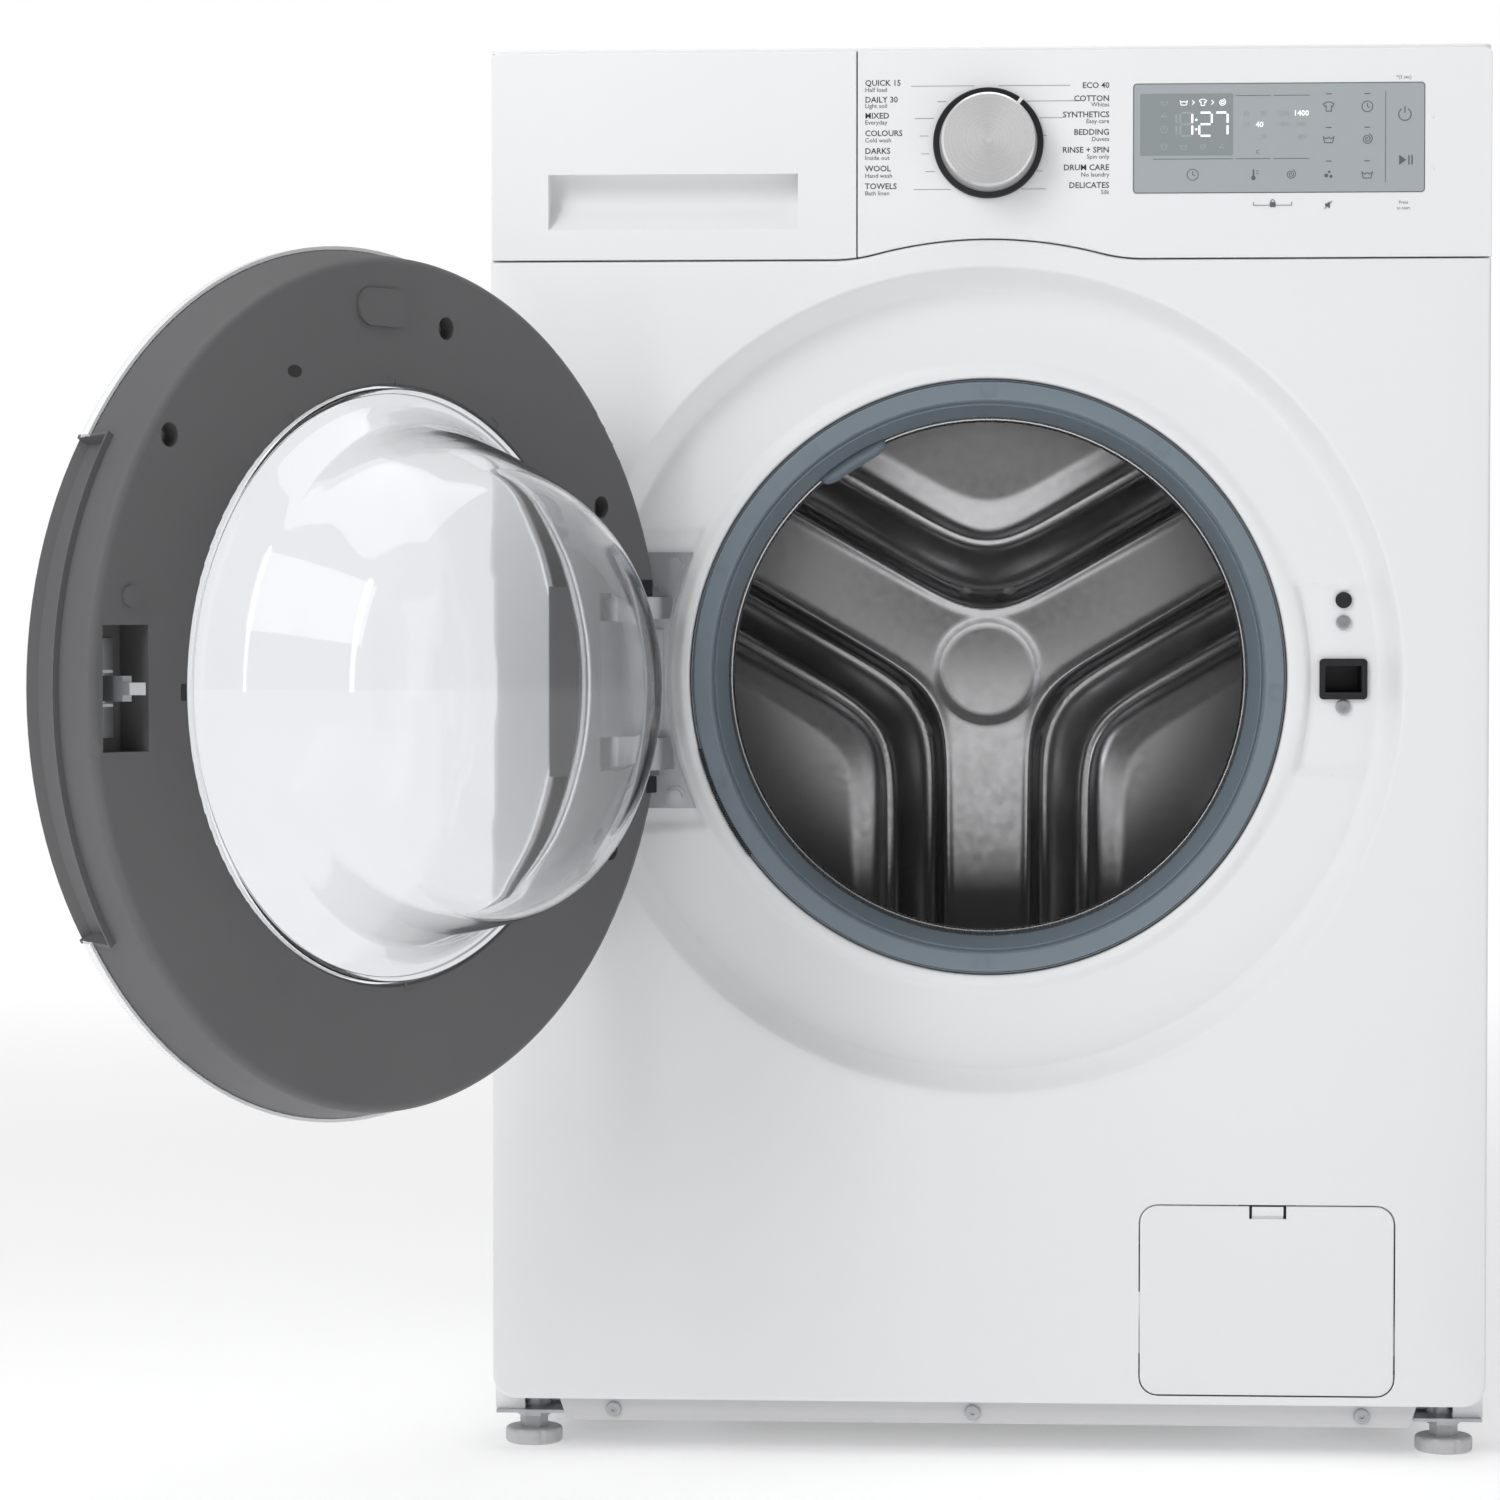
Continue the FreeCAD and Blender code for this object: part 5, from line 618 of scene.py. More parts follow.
def makeFrontPanel():
    # rows run outwards from the neck to the folded edge; depth = floor, plus soft pads, less the wall's rise
    outlineAngle, outlineReach = panelOutline()
    half, drop = panel["halfWidth"], doorZ / mm - panel["bottom"]
    extra = [math.atan2(half, panel["split"] - doorZ / mm), math.atan2(half, -drop)]
    angle = np.concatenate([np.linspace(-np.pi, np.pi, panel["turns"], endpoint=False)]
                           + [s * a + np.linspace(-0.03, 0.03, 13) for a in extra for s in (-1, 1)])
    angle = np.unique(np.round(angle, 5))[None, :]
    edge = np.interp(angle, outlineAngle, outlineReach, period=2 * np.pi)
    lockSide = np.exp(-((angle - np.pi / 2) / panel["lockSpread"]) ** 4)
    foot = panel["foot"] + panel["lockFoot"] * lockSide  # how far the rim's slope reaches
    rimEnd, step, floor = panel["neck"] + panel["rimTop"], panel["step"], panel["floor"]
    one = np.ones_like(angle)
    radius = panel["rimRound"]
    rows = [(panel["neck"] * one, depth * one) for depth in (panel["flange"], 32.0, step + radius)]
    for turn in np.linspace(0, 1, 5) * math.pi / 2:
        rows.append(((panel["neck"] + radius * (1 - math.cos(turn))) * one,
                     (step + radius * (1 - math.sin(turn))) * one))
    rows.append((rimEnd * one, step * one))
    for t in np.linspace(0.12, 1, 8):
        rows.append((rimEnd + foot * t, (step + (floor - step) * eased(t)) * one))
    start = rimEnd + foot
    for t in np.linspace(0.04, 1, 24):
        rows.append((start + (panel["wallFoot"] - start) * t, floor * one))
    for t in np.linspace(0.06, 1, 16):
        reach = panel["wallFoot"] + (panel["dish"] - panel["wallFoot"]) * t ** 0.85
        rows.append((reach * one, floor * (1 - eased(t)) * one))
    for t in (0.02, 0.3, 0.7, 1.0):
        rows.append((panel["dish"] + (edge - panel["fold"] - panel["dish"]) * t, 0 * one))
    for turn in np.linspace(0.25, 1, 5) * math.pi / 2:
        rows.append((edge - panel["fold"] * (1 - math.sin(turn)), panel["fold"] * (1 - math.cos(turn)) * one))
    rows.append((edge, panel["flange"] * one))
    reach, depth = (np.concatenate(part) for part in zip(*rows))
    lift = 1 - eased((reach - panel["centreFrom"]) / panel["centreOver"])
    x, z = reach * np.sin(angle), reach * np.cos(angle)
    inside = eased((reach - panel["padStart"]) / 4.0) * eased((panel["padEnd"] - reach) / 10.0)
    for side, pad in ((-1, panel["hingePad"]), (1, panel["lockPad"])):
        tall = eased((pad - np.abs(z)) / panel["softness"] + 0.5)
        depth = depth + panel["pad"] * inside * tall * eased((side * x - panel["padSide"]) / 20.0)
    place = np.stack([x * mm, frontY + depth * mm, doorZ + (z + lift * (drumZ - doorZ) / mm) * mm], -1)
    piece = tidyMesh(makeObject("frontPanel", place, gridFaces(*reach.shape, closeCols=True)))
    wall = piece.modifiers.new("sheet", "SOLIDIFY")
    wall.thickness, wall.offset = panel["sheet"] * mm, -1
    applyModifiers(piece)
    x0, x1, z0, z1, radius = panel["flap"]
    a0, a1, b0, b1 = panel["lock"]
    cutter = makeObject("cutter", *joinParts([
        plate(roundedRect(x0, x1, z0, z1, radius), -5.0, 12.0, onFront),
        plate(roundedRect(a0, a1, b0, b1, 2.0), -5.0, 40.0, onFront)]))
    tidyMesh(cutter)
    hole = piece.modifiers.new("holes", "BOOLEAN")
    hole.operation, hole.object, hole.solver = "DIFFERENCE", cutter, "EXACT"
    applyModifiers(piece)
    bpy.data.objects.remove(cutter)
    smoothMesh(piece, 30)
    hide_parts("front_panel")
    return finishPiece(piece, finishes["white_enamel"], "cabinet")


frontPanel = makeFrontPanel()
print("front panel:", len(frontPanel.data.polygons), "faces")

# ---- drum back: a pressed steel disc with three raised arms and bulging petals between them
star = {"y": 140.0, "radius": 243.4, "armHalf": 28.5, "flank": 37.0, "height": 21.0, "blend": 62.0, "hub": 32.0,
        "bulge": 7.0, "bead": 0.9, "sheet": 1.2, "groove": 1.6, "petalEdge": 1.6, "hubStep": 1.6, "dome": 3.0,
        "rim": 228.0, "least": 0.4, "rows": 110, "turns": 420, "backStep": 4, "sharpness": 6.0}


def makeDrumBack():
    # depth is a profile across each arm, taken at the smooth least distance from the three arms' middle lines
    angle = np.linspace(0, 2 * np.pi, star["turns"], endpoint=False)[None, :]
    reach = (np.linspace(0, 1, star["rows"]) ** 0.9 * star["radius"])[:, None]
    x, z = reach * np.sin(angle), reach * np.cos(angle)
    weight = 0
    for k in range(3):
        a = math.radians(180 + 120 * k)
        across = np.abs(x * math.cos(a) - z * math.sin(a))
        along = x * math.sin(a) + z * math.cos(a)
        distance = np.sqrt(across**2 + np.where(along < 0, along, 0) ** 2)
        weight = weight + np.exp(-distance / star["blend"] * star["sharpness"])
    distance = -np.log(weight) * star["blend"] / star["sharpness"]
    past = distance - star["armHalf"]
    share = past / star["flank"]
    down = star["height"] * (0.42 * eased(share * 4.0) + 0.58 * eased((share - 0.3) / 0.85))
    bead = star["bead"] * np.exp(-((past + 1.0) / 3.0) ** 2)
    groove = star["groove"] * np.exp(-((share - 0.98) / 0.16) ** 2)
    bulge = star["bulge"] * eased((share - 1.0) / 0.8) + star["petalEdge"] * np.exp(-((share - 1.3) / 0.2) ** 2)
    hub = star["hubStep"] * eased((reach - star["hub"]) / 5.0) - star["hubStep"]
    dome = star["dome"] * np.exp(-(reach / 75.0) ** 2)
    rise = star["height"] - down + bead - groove * eased(share) + bulge * eased((share - 0.9) / 0.3) + dome + hub
    rise = np.clip(rise, star["least"], None) * (1 - eased((reach - star["rim"]) / 12.0)) + star["least"]
    front = star["y"] - rise
    back = front + star["sheet"]
    pick = np.r_[0:star["rows"]:star["backStep"], star["rows"] - 1]  # the hidden rear face needs fewer rows
    depth = np.concatenate([front, back[pick][::-1]])
    reachAll = np.concatenate([reach, reach[pick][::-1]])
    place = np.stack([reachAll * np.sin(angle) * mm, depth * mm, drumZ + reachAll * np.cos(angle) * mm], -1)
    piece = tidyMesh(makeObject("drumBack", place, gridFaces(*depth.shape, closeRows=True, closeCols=True)), 50)
    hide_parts("drum_back")
    return finishPiece(piece, drumBackFinish, "drum")


drumBackFinish = metalFinish("rolledSteel", (0.6, 0.59, 0.6), (160.0, 30.0, 160.0), tone=0.16, rough=(0.2, 0.26),
                             bump=0.012)
drumBack = makeDrumBack()
print("drum back:", len(drumBack.data.polygons), "faces")

# ---- gasket: a rubber bellows from the neck to the tub's mouth
seal = {"face": 18.5, "outer": 179.0, "fold": 168.2, "lip": 158.4, "tub": 168.1, "wall": 1.6,
        "marks": (0, 37, -38, 93, 181), "arrows": (-68, -112), "markLow": 0.35, "markHigh": 0.5,
        "nozzle": (-32, 24.0, 10.0)}


def makeGasket():
    # a walled profile turned about the drum's axis; marks and a spray nozzle stand on it
    face = seal["face"]
    path = roundPath([(seal["outer"], face + 16), (seal["outer"], face), (seal["fold"], face),
                      (seal["fold"] - 1.7, face + 3.4), (seal["fold"] - 3.2, face + 1.0), (seal["lip"], 45),
                      (seal["lip"] + 1.5, 53), (seal["tub"] + 1.5, 55), (seal["tub"] + 1.5, 60), (164.5, 63),
                      (seal["tub"], 67), (seal["tub"], 76)], [1.6, 1.0, 1.0, 1.2, 3.5, 3.0, 2.0, 2.0, 2.0, 2.0])
    profile = walled(path, -seal["wall"])
    ringPoints = lathe(profile, drumZ, 240)
    parts = [(ringPoints.reshape(-1, 3), gridFaces(*ringPoints.shape[:2], closeRows=True, closeCols=True).tolist())]
    middle = (seal["outer"] + seal["fold"]) / 2

    def around(turn):
        # drawing plane tangent to the gasket's face at an angle from the top
        c, s = math.cos(math.radians(turn)), math.sin(math.radians(turn))

        def place(u, v, depth):
            v = v + middle
            return np.stack([(u * c + v * s) * mm, frontY + depth * mm + 0 * u, drumZ + (v * c - u * s) * mm], -1)
        return place

    markLow, markHigh = face - seal["markLow"], face + seal["markHigh"]
    bracket, arrow = [(-4.2, 3.2), (-4.2, -3.0), (4.2, -3.0), (4.2, 3.2)], [(-2.2, -2.0), (0, 2.4), (2.2, -2.0)]
    parts += [stroke(bracket, 0.9, markLow, markHigh, around(turn)) for turn in seal["marks"]]
    parts += [stroke(arrow, 0.8, markLow, markHigh, around(turn), True) for turn in seal["arrows"]]
    turn, half, tall = seal["nozzle"]
    c, s = math.cos(math.radians(turn)), math.sin(math.radians(turn))
    u = np.linspace(-1, 1, 25)[None, :]
    loop = np.linspace(0, 2 * np.pi, 20, endpoint=False)[:, None]
    swell = np.clip(1 - np.abs(u) ** 5, 0, 1) ** 0.5
    across = u * half + 0 * loop
    v = seal["lip"] + 1.0 - np.abs(u) ** 2 * half**2 / 330 + swell * tall * 0.5 * (np.cos(loop) - 0.7)
    depth = 50 + swell * 9.0 * np.sin(loop)
    lump = np.stack([(across * c + v * s) * mm, frontY + depth * mm, drumZ + (v * c - across * s) * mm], -1)
    parts.append((lump.reshape(-1, 3), gridFaces(20, 25, closeRows=True).tolist()))
    piece = tidyMesh(makeObject("gasket", *joinParts(parts)), 40)
    finishPiece(piece, finishes["gasket_rubber"])
    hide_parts("gasket")
    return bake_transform(piece)


gasket = makeGasket()
print("gasket:", len(gasket.data.polygons), "faces")

# ---- clamp spring of the gasket: a short coil that lies in the gap outside its lip
clamp = {"radius": 180.0, "depth": 18.6, "coil": 1.0, "wire": 0.32, "turns": 46, "from": -104, "to": -127}


def coilTube(centre, sideA, sideB, coil, wire, turns, perTurn=10, around=6):
    # a wire wound round a centre line: centre + coil (cos, sin) in the two side directions, with a round section
    steps = turns * perTurn + 1
    phase = np.linspace(0, 2 * np.pi * turns, steps)[:, None]
    t = np.linspace(0, 1, steps)[:, None]
    out = np.cos(phase) * sideA(t) + np.sin(phase) * sideB(t)
    line = centre(t) + coil * out
    ahead = np.gradient(line, axis=0)
    ahead = ahead / np.linalg.norm(ahead, axis=1)[:, None]
    third = np.cross(ahead, out)
    a = np.linspace(0, 2 * np.pi, around, endpoint=False)
    ringOut = out[:, None, :] * np.cos(a)[None, :, None] + third[:, None, :] * np.sin(a)[None, :, None]
    points = (line[:, None, :] + wire * ringOut).reshape(-1, 3)
    faces = gridFaces(steps, around, closeCols=True).tolist()
    last = (steps - 1) * around
    return points, faces + [list(range(around)), list(range(last, last + around))[::-1]]


def makeClampSpring():
    def centre(t):
        a = np.radians(clamp["from"] + (clamp["to"] - clamp["from"]) * t)
        r = clamp["radius"] * mm
        return np.concatenate([r * np.sin(a), 0 * a + frontY + clamp["depth"] * mm, drumZ + r * np.cos(a)], 1)

    def outwards(t):
        a = np.radians(clamp["from"] + (clamp["to"] - clamp["from"]) * t)
        return np.concatenate([np.sin(a), 0 * a, np.cos(a)], 1)

    def forwards(t):
        return np.concatenate([0 * t, 0 * t - 1, 0 * t], 1)

    made = coilTube(centre, outwards, forwards, clamp["coil"] * mm, clamp["wire"] * mm, clamp["turns"])
    piece = tidyMesh(makeObject("clampSpring", *made), 60, 0.0002)
    return finishPiece(piece, finishes["dark_plastic"], "cabinet")


makeClampSpring()

# ---- suspension springs and the tub's two hoses, which stretch between cabinet and tub
hanging = {"coil": 11.0, "wire": 1.8, "turns": 24, "topGap": 10.0, "footGap": 5.0, "inset": 16.8}
filling = {"radius": 17.6, "wave": 1.9, "pitch": 6.0, "wall": 1.8, "held": 8.0, "rows": 90, "turns": 48}
draining = {"startX": -20.0, "startDepth": 302.0, "endDepth": 76.5, "endZ": 104.0, "radius": 15.6, "wave": 1.2,
            "ribs": 34, "wall": 1.8, "held": (30.0, 12.0), "rows": 140, "turns": 36}


def makeSuspension():
    low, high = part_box("suspension_springs")
    top, foot = high.z - hanging["topGap"] * mm, low.z + hanging["footGap"] * mm
    y = (low.y + high.y) / 2
    parts = []
    for side in (-1, 1):
        x = side * (high.x - hanging["inset"] * mm)
        rise = np.array([[x, y, foot], [x, y, top]])
        parts.append(coilTube(lambda t: rise[0] + (rise[1] - rise[0]) * t, lambda t: np.array([[1.0, 0, 0]]) + 0 * t,
                              lambda t: np.array([[0, 1.0, 0]]) + 0 * t, hanging["coil"] * mm, hanging["wire"] * mm,
                              hanging["turns"], 16, 8))
    piece = tidyMesh(makeObject("suspensionSprings", *joinParts(parts)), 60)
    finishPiece(piece, finishes["zinc_steel"])
    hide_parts("suspension_springs")
    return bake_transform(piece)


def makeFillHose():
    # bellows: a wavy radius round an upright line, with a wall
    low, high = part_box("fill_hose")
    x, y = (low.x + high.x) / 2, (low.y + high.y) / 2
    z = np.linspace(low.z + 0.1 * mm, high.z - 0.1 * mm, filling["rows"])
    phase = (z - low.z) / (filling["pitch"] * mm) * 2 * np.pi
    wave = filling["radius"] * mm + filling["wave"] * mm * np.sin(phase)
    loop = np.concatenate([wave, (wave - filling["wall"] * mm)[::-1]])[:, None]
    tall = np.concatenate([z, z[::-1]])[:, None]
    a = np.linspace(0, 2 * np.pi, filling["turns"], endpoint=False)[None, :]
    place = np.stack([x + loop * np.cos(a), y + loop * np.sin(a), tall + 0 * a], -1)
    piece = tidyMesh(makeObject("fillHose", place, gridFaces(*place.shape[:2], closeRows=True, closeCols=True)), 60)
    finishPiece(piece, finishes["black_rubber"])
    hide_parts("fill_hose")
    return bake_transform(piece)


def makeSumpHose():
    # a ribbed tube along a smooth curve from the tub's drain, down, and across to the pump
    low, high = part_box("sump_hose")
    start = Vector((draining["startX"] * mm, frontY + draining["startDepth"] * mm, high.z))
    end = Vector((high.x, frontY + draining["endDepth"] * mm, draining["endZ"] * mm))
    t = np.linspace(0, 1, draining["rows"])[:, None]
    pull = [np.array(start), np.array(start) - (0, 0, 0.085), np.array(end) - (0.13, -0.02, 0.004), np.array(end)]
    line = (1 - t) ** 3 * pull[0] + 3 * t * (1 - t) ** 2 * pull[1] + 3 * t * t * (1 - t) * pull[2] + t**3 * pull[3]
    ahead = np.gradient(line, axis=0)
    ahead = ahead / np.linalg.norm(ahead, axis=1)[:, None]
    sideA = np.cross(ahead, (0.8, -0.6, 0.0))
    sideA = sideA / np.linalg.norm(sideA, axis=1)[:, None]
    sideB = np.cross(ahead, sideA)
    a = np.linspace(0, 2 * np.pi, draining["turns"], endpoint=False)
    around = sideA[:, None] * np.cos(a)[None, :, None] + sideB[:, None] * np.sin(a)[None, :, None]
    ribs = draining["radius"] * mm + draining["wave"] * mm * np.sin(t * draining["ribs"] * 2 * np.pi)[:, :, None]
    outer, inner = line[:, None] + ribs * around, line[:, None] + (ribs - draining["wall"] * mm) * around
    place = np.concatenate([outer, inner[::-1]])
    piece = tidyMesh(makeObject("sumpHose", place, gridFaces(*place.shape[:2], closeRows=True, closeCols=True)), 60)
    finishPiece(piece, finishes["black_rubber"])
    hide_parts("sump_hose")
    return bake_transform(piece)


makeSuspension()
makeFillHose()
makeSumpHose()
print("springs and hoses made")

# ---- glass bowl of the door: pressed glass with rounded steps near its rim and a slanted upper side
bowl = {"wall": 3.8, "slant": 16.0,
        "profile": ((165.5, 6.0), (165.5, -1.5), (158.5, -3.0), (154.0, -7.0), (149.5, -12.5), (145.5, -18.0),
                    (141.0, -30.0), (138.0, -40.0), (133.0, -62.0), (126.0, -87.5), (98.0, -106.5), (66.0, -109.5),
                    (0.0, -109.5)),
        "rounding": (3.0, 3.5, 3.0, 3.0, 3.0, 6.0, 5.0, 10.0, 12.0, 14.0, 18.0)}


def makeBowl():
    # a walled profile (radius, height off the closed door's inner face) turned about the door's axis
    path = roundPath(bowl["profile"], bowl["rounding"], 8)
    inner = walled(path, -bowl["wall"])[len(path):]
    inner[:, 0] = np.clip(inner[:, 0], 0, None)
    inner[0, 0] = 0.0
    profile = np.concatenate([path, inner])
    profile[:, 1] = (flatY - frontY) / mm - profile[:, 1]

    def drawIn(angle, radius, depth):
        # the upper side slants: it draws in more the deeper the bowl is, and fades towards the axis
        share = eased((depth - 45.0) / 85.0) * np.clip(radius / 110.0, 0, 1)
        return -bowl["slant"] * share * np.clip(np.cos(angle), 0, 1) ** 2

    place = openDoor(lathe(profile, doorZ, 220, drawIn))
    piece = tidyMesh(makeObject("doorBowl", place, gridFaces(*place.shape[:2], closeRows=True, closeCols=True)), 60)
    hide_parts("door_glass")
    return finishPiece(piece, finishes["bowl_glass"], "door")


doorBowl = makeBowl()
print("door bowl:", len(doorBowl.data.polygons), "faces")

# ---- the door's inner face: slots, an oval recess and a notch painted as dark plates for the shade in them, and moulded clips
marks = {"slots": ((-221.2, 55.8, 5.0), (-225.1, -61.8, 5.0)), "clips": ((6.3, 171.0), (89.9, 146.6), (-82.5, 150.7),
         (-7.8, -170.6)), "recess": (84.5, 171.1, 5.5, 3.4), "notch": (170.2, -1.5, 4.0,
                                                                       9.0), "rib": 1.1, "reach": 7.0}


def makeDoorSlotShadeAndClips():
    # painted shade: dark squares, an oval and a notch, all thin plates on the face, stand for the shade inside the
    # slots, the recess and the notch
    parts = [plate(roundedRect(u - h, u + h, v - h, v + h, 0.8), -0.12, 0.3, onDoor) for u, v, h in marks["slots"]]
    u, v, wide, tall = marks["recess"]
    turn = np.linspace(0, 2 * np.pi, 32, endpoint=False)
    parts.append(plate(np.stack([u + wide * np.cos(turn), v + tall * np.sin(turn)], 1), -0.12, 0.3, onDoor))
    u, v, wide, tall = marks["notch"]
    parts.append(plate(roundedRect(u - wide / 2, u + wide / 2, v - tall / 2, v + tall / 2, 0.8), -0.12, 0.3, onDoor))
    piece = tidyMesh(makeObject("doorSlotShade", *joinParts(parts)))
    finishPiece(piece, finishes["dark_plastic"], "door")
    ribs = []
    for u, v in marks["clips"]:
        outward = np.array([u, v]) / math.hypot(u, v)
        side = np.array([-outward[1], outward[0]])
        centre = np.array([u, v])
        ell = [centre - side * marks["reach"] * 0.5, centre + side * marks["reach"] * 0.5,
               centre + side * marks["reach"] * 0.5 - outward * 4.5]
        ribs.append(stroke(ell, marks["rib"], -0.3, 1.1, onDoor))
    clips = tidyMesh(makeObject("doorClips", *joinParts(ribs)))
    finishPiece(clips, finishes["grey_plastic"], "door")


makeDoorSlotShadeAndClips()

# ---- knob pointer and the print round it: programme names with fine leader lines
pointer = {"reach": 31.0, "long": 4.8, "width": 2.1, "turn": 37.0, "lift": 0.18}


def makePointer():
    low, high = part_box("knob_ring")
    front = (low.y - frontY) / mm
    centre = joints["programme_knob"]["pos_m"][2] / mm
    out = np.array([math.sin(math.radians(pointer["turn"])), math.cos(math.radians(pointer["turn"]))])
    start, end = out * (pointer["reach"] - pointer["long"] / 2), out * (pointer["reach"] + pointer["long"] / 2)
    bar = stroke([start + (0, centre), end + (0, centre)], pointer["width"], front - pointer["lift"], front + 0.4,
                 onFront)
    piece = tidyMesh(makeObject("knobPointer", *bar))
    return finishPiece(piece, finishes["white_plastic"], "knob")


makePointer()

programmes = {
    "capZ": (828.6, 818.6, 809.0, 798.5, 787.9, 777.4, 766.8), "noteZ": (824.5, 814.9, 805.0, 794.3, 783.8, 773.1,
                                                                         762.6),
    "lineZ": (826.4, 817.1, 807.1, 796.6, 785.9, 775.3, 764.6), "leftX": -74.0, "rightX": 72.4,
    "capSize": 4.9, "noteSize": 3.7, "line": 0.25,
    "left": (("QUICK 15", "Half load"), ("DAILY 30", "Light soil"), ("MIXED", "Everyday"), ("COLOURS", "Cold wash"),
             ("DARKS", "Inside out"), ("WOOL", "Hand wash"), ("TOWELS", "Bath linen")),
    "right": (("ECO 40", ""), ("COTTON", "Whites"), ("SYNTHETICS", "Easy care"), ("BEDDING", "Duvets"),
              ("RINSE + SPIN", "Spin only"), ("DRUM CARE", "No laundry"), ("DELICATES", "Silk")),
    "leftLines": ((-46.3, -8.6), (-30.5, -25.1), (-44.0, -32.5), (-41.1, -35.8), (-40.2, -35.4), (-37.7, -31.7),
                  (-44.6, -22.4)),
    "rightLines": ((6.2, 49.0), (22.9, 55.4), (30.9, 44.5), (33.0, 35.0), None, (29.1, 32.7), (19.7, 34.4))}


def printPiece(name, parts, material):
    piece = makeObject(name, *joinParts(parts))
    return finishPiece(piece, material, "cabinet")


def makeProgrammePrint():
    parts = []
    for side, x, align in (("left", programmes["leftX"], "LEFT"), ("right", programmes["rightX"], "RIGHT")):
        lines = programmes[side + "Lines"]
        for (cap, note), capZ, noteZ, lineZ, line in zip(programmes[side], programmes["capZ"], programmes["noteZ"],
                                                         programmes["lineZ"], lines):
            parts.append(written(cap, programmes["capSize"], x, capZ if note else lineZ, align, 0.06))
            if note:
                parts.append(written(note, programmes["noteSize"], x, noteZ, align))
            if line:
                parts.append(stroke([(line[0], lineZ), (line[1], lineZ)], programmes["line"], -0.1, 0.05, onFront))
    return printPiece("programmePrint", parts, printDark)


makeProgrammePrint()
print("knob pointer and programme print made")

# ---- display print: a shaded field with seven-part digits, and the touch keys' symbols
display = {"low": 86.5, "high": 260.2, "foot": 761.4, "top": 827.1,
           "field": (90.7, 146.1, 783.9,
                     820.9), "digitTop": 809.5, "digitFoot": 795.7, "digitWidth": 7.4, "stroke": 1.2,
           "lit": (("1", 118.1), ("2", 126.0), ("7", 135.4)), "ghosts": (("1", 108.6), ("8", 114.6)),
           "colon": ((124.2, 805.2), (124.2, 799.6)), "iconZ": 815.6, "icons": (116.7, 128.1, 139.6),
           "chevrons": (122.4, 133.9), "ghostIcons": ((105.1, 815.6), (105.0, 808.0), (105.0, 799.6), (105.0, 789.2),
                                                     (116.6, 789.2), (128.0, 789.2), (139.5, 789.2)),
           "litNumbers": (("40", 161.9, 802.4), ("1400", 186.6, 809.0)),
           "ghostNumbers": (("60", 154.0, 809.0), ("90", 164.0, 809.0), ("30", 154.0, 802.4), ("20", 164.0, 795.0),
                            ("1200", 176.0, 809.0), ("1000", 176.0, 802.4), ("800", 186.6, 802.4), ("400", 187.0,
                                                                                                    795.0)),
           "darkLines": ((147.8, 168.2, 819.5), (170.1, 191.3, 819.5), (98.4, 146.0, 781.9), (147.8, 168.2, 781.9),
                         (170.1, 191.3, 781.9)),
           "columns": (202.9, 225.8), "columnZ": (812.6, 793.3, 772.2), "columnBars": (820.2, 800.2, 780.2),
           "divider": (236.7, 767.4, 821.7)}
sevenParts = {"1": "bc", "2": "abged", "7": "abc", "8": "abcdefg"}


def digit(symbol, x, place, low, high):
    # a seven-part digit, drawn with short strokes
    foot, top, wide, line = display["digitFoot"], display["digitTop"], display["digitWidth"], display["stroke"]
    middle, gap = (foot + top) / 2, line * 0.62
    ends = {"a": ((0, top), (wide, top)), "b": ((wide, top), (wide, middle)), "c": ((wide, middle), (wide, foot)),
            "d": ((0, foot), (wide, foot)), "e": ((0, middle), (0, foot)), "f": ((0, top), (0, middle)),
            "g": ((0, middle), (wide, middle))}
    parts = []
    for name in sevenParts[symbol]:
        (x0, z0), (x1, z1) = ends[name]
        if symbol == "1":
            x0, x1 = x0 - wide / 2, x1 - wide / 2
        long = math.hypot(x1 - x0, z1 - z0)
        ux, uz = (x1 - x0) / long * gap, (z1 - z0) / long * gap
        points = np.array([(x + x0 + ux, z0 + uz), (x + x1 - ux, z1 - uz)])
        parts.append(stroke(points, line, low, high, place))
    return parts


def ring(x, z, radius, width, low, high, start=0, end=360):
    return stroke(arc(x, z, radius, start, end, 20)[:-1 if end - start == 360 else None], width, low, high, onWindow,
                  end - start == 360)


def dot(x, z, radius, low=-0.12, high=0.05):
    return plate(arc(x, z, radius, 0, 342, 20), low, high, onWindow)


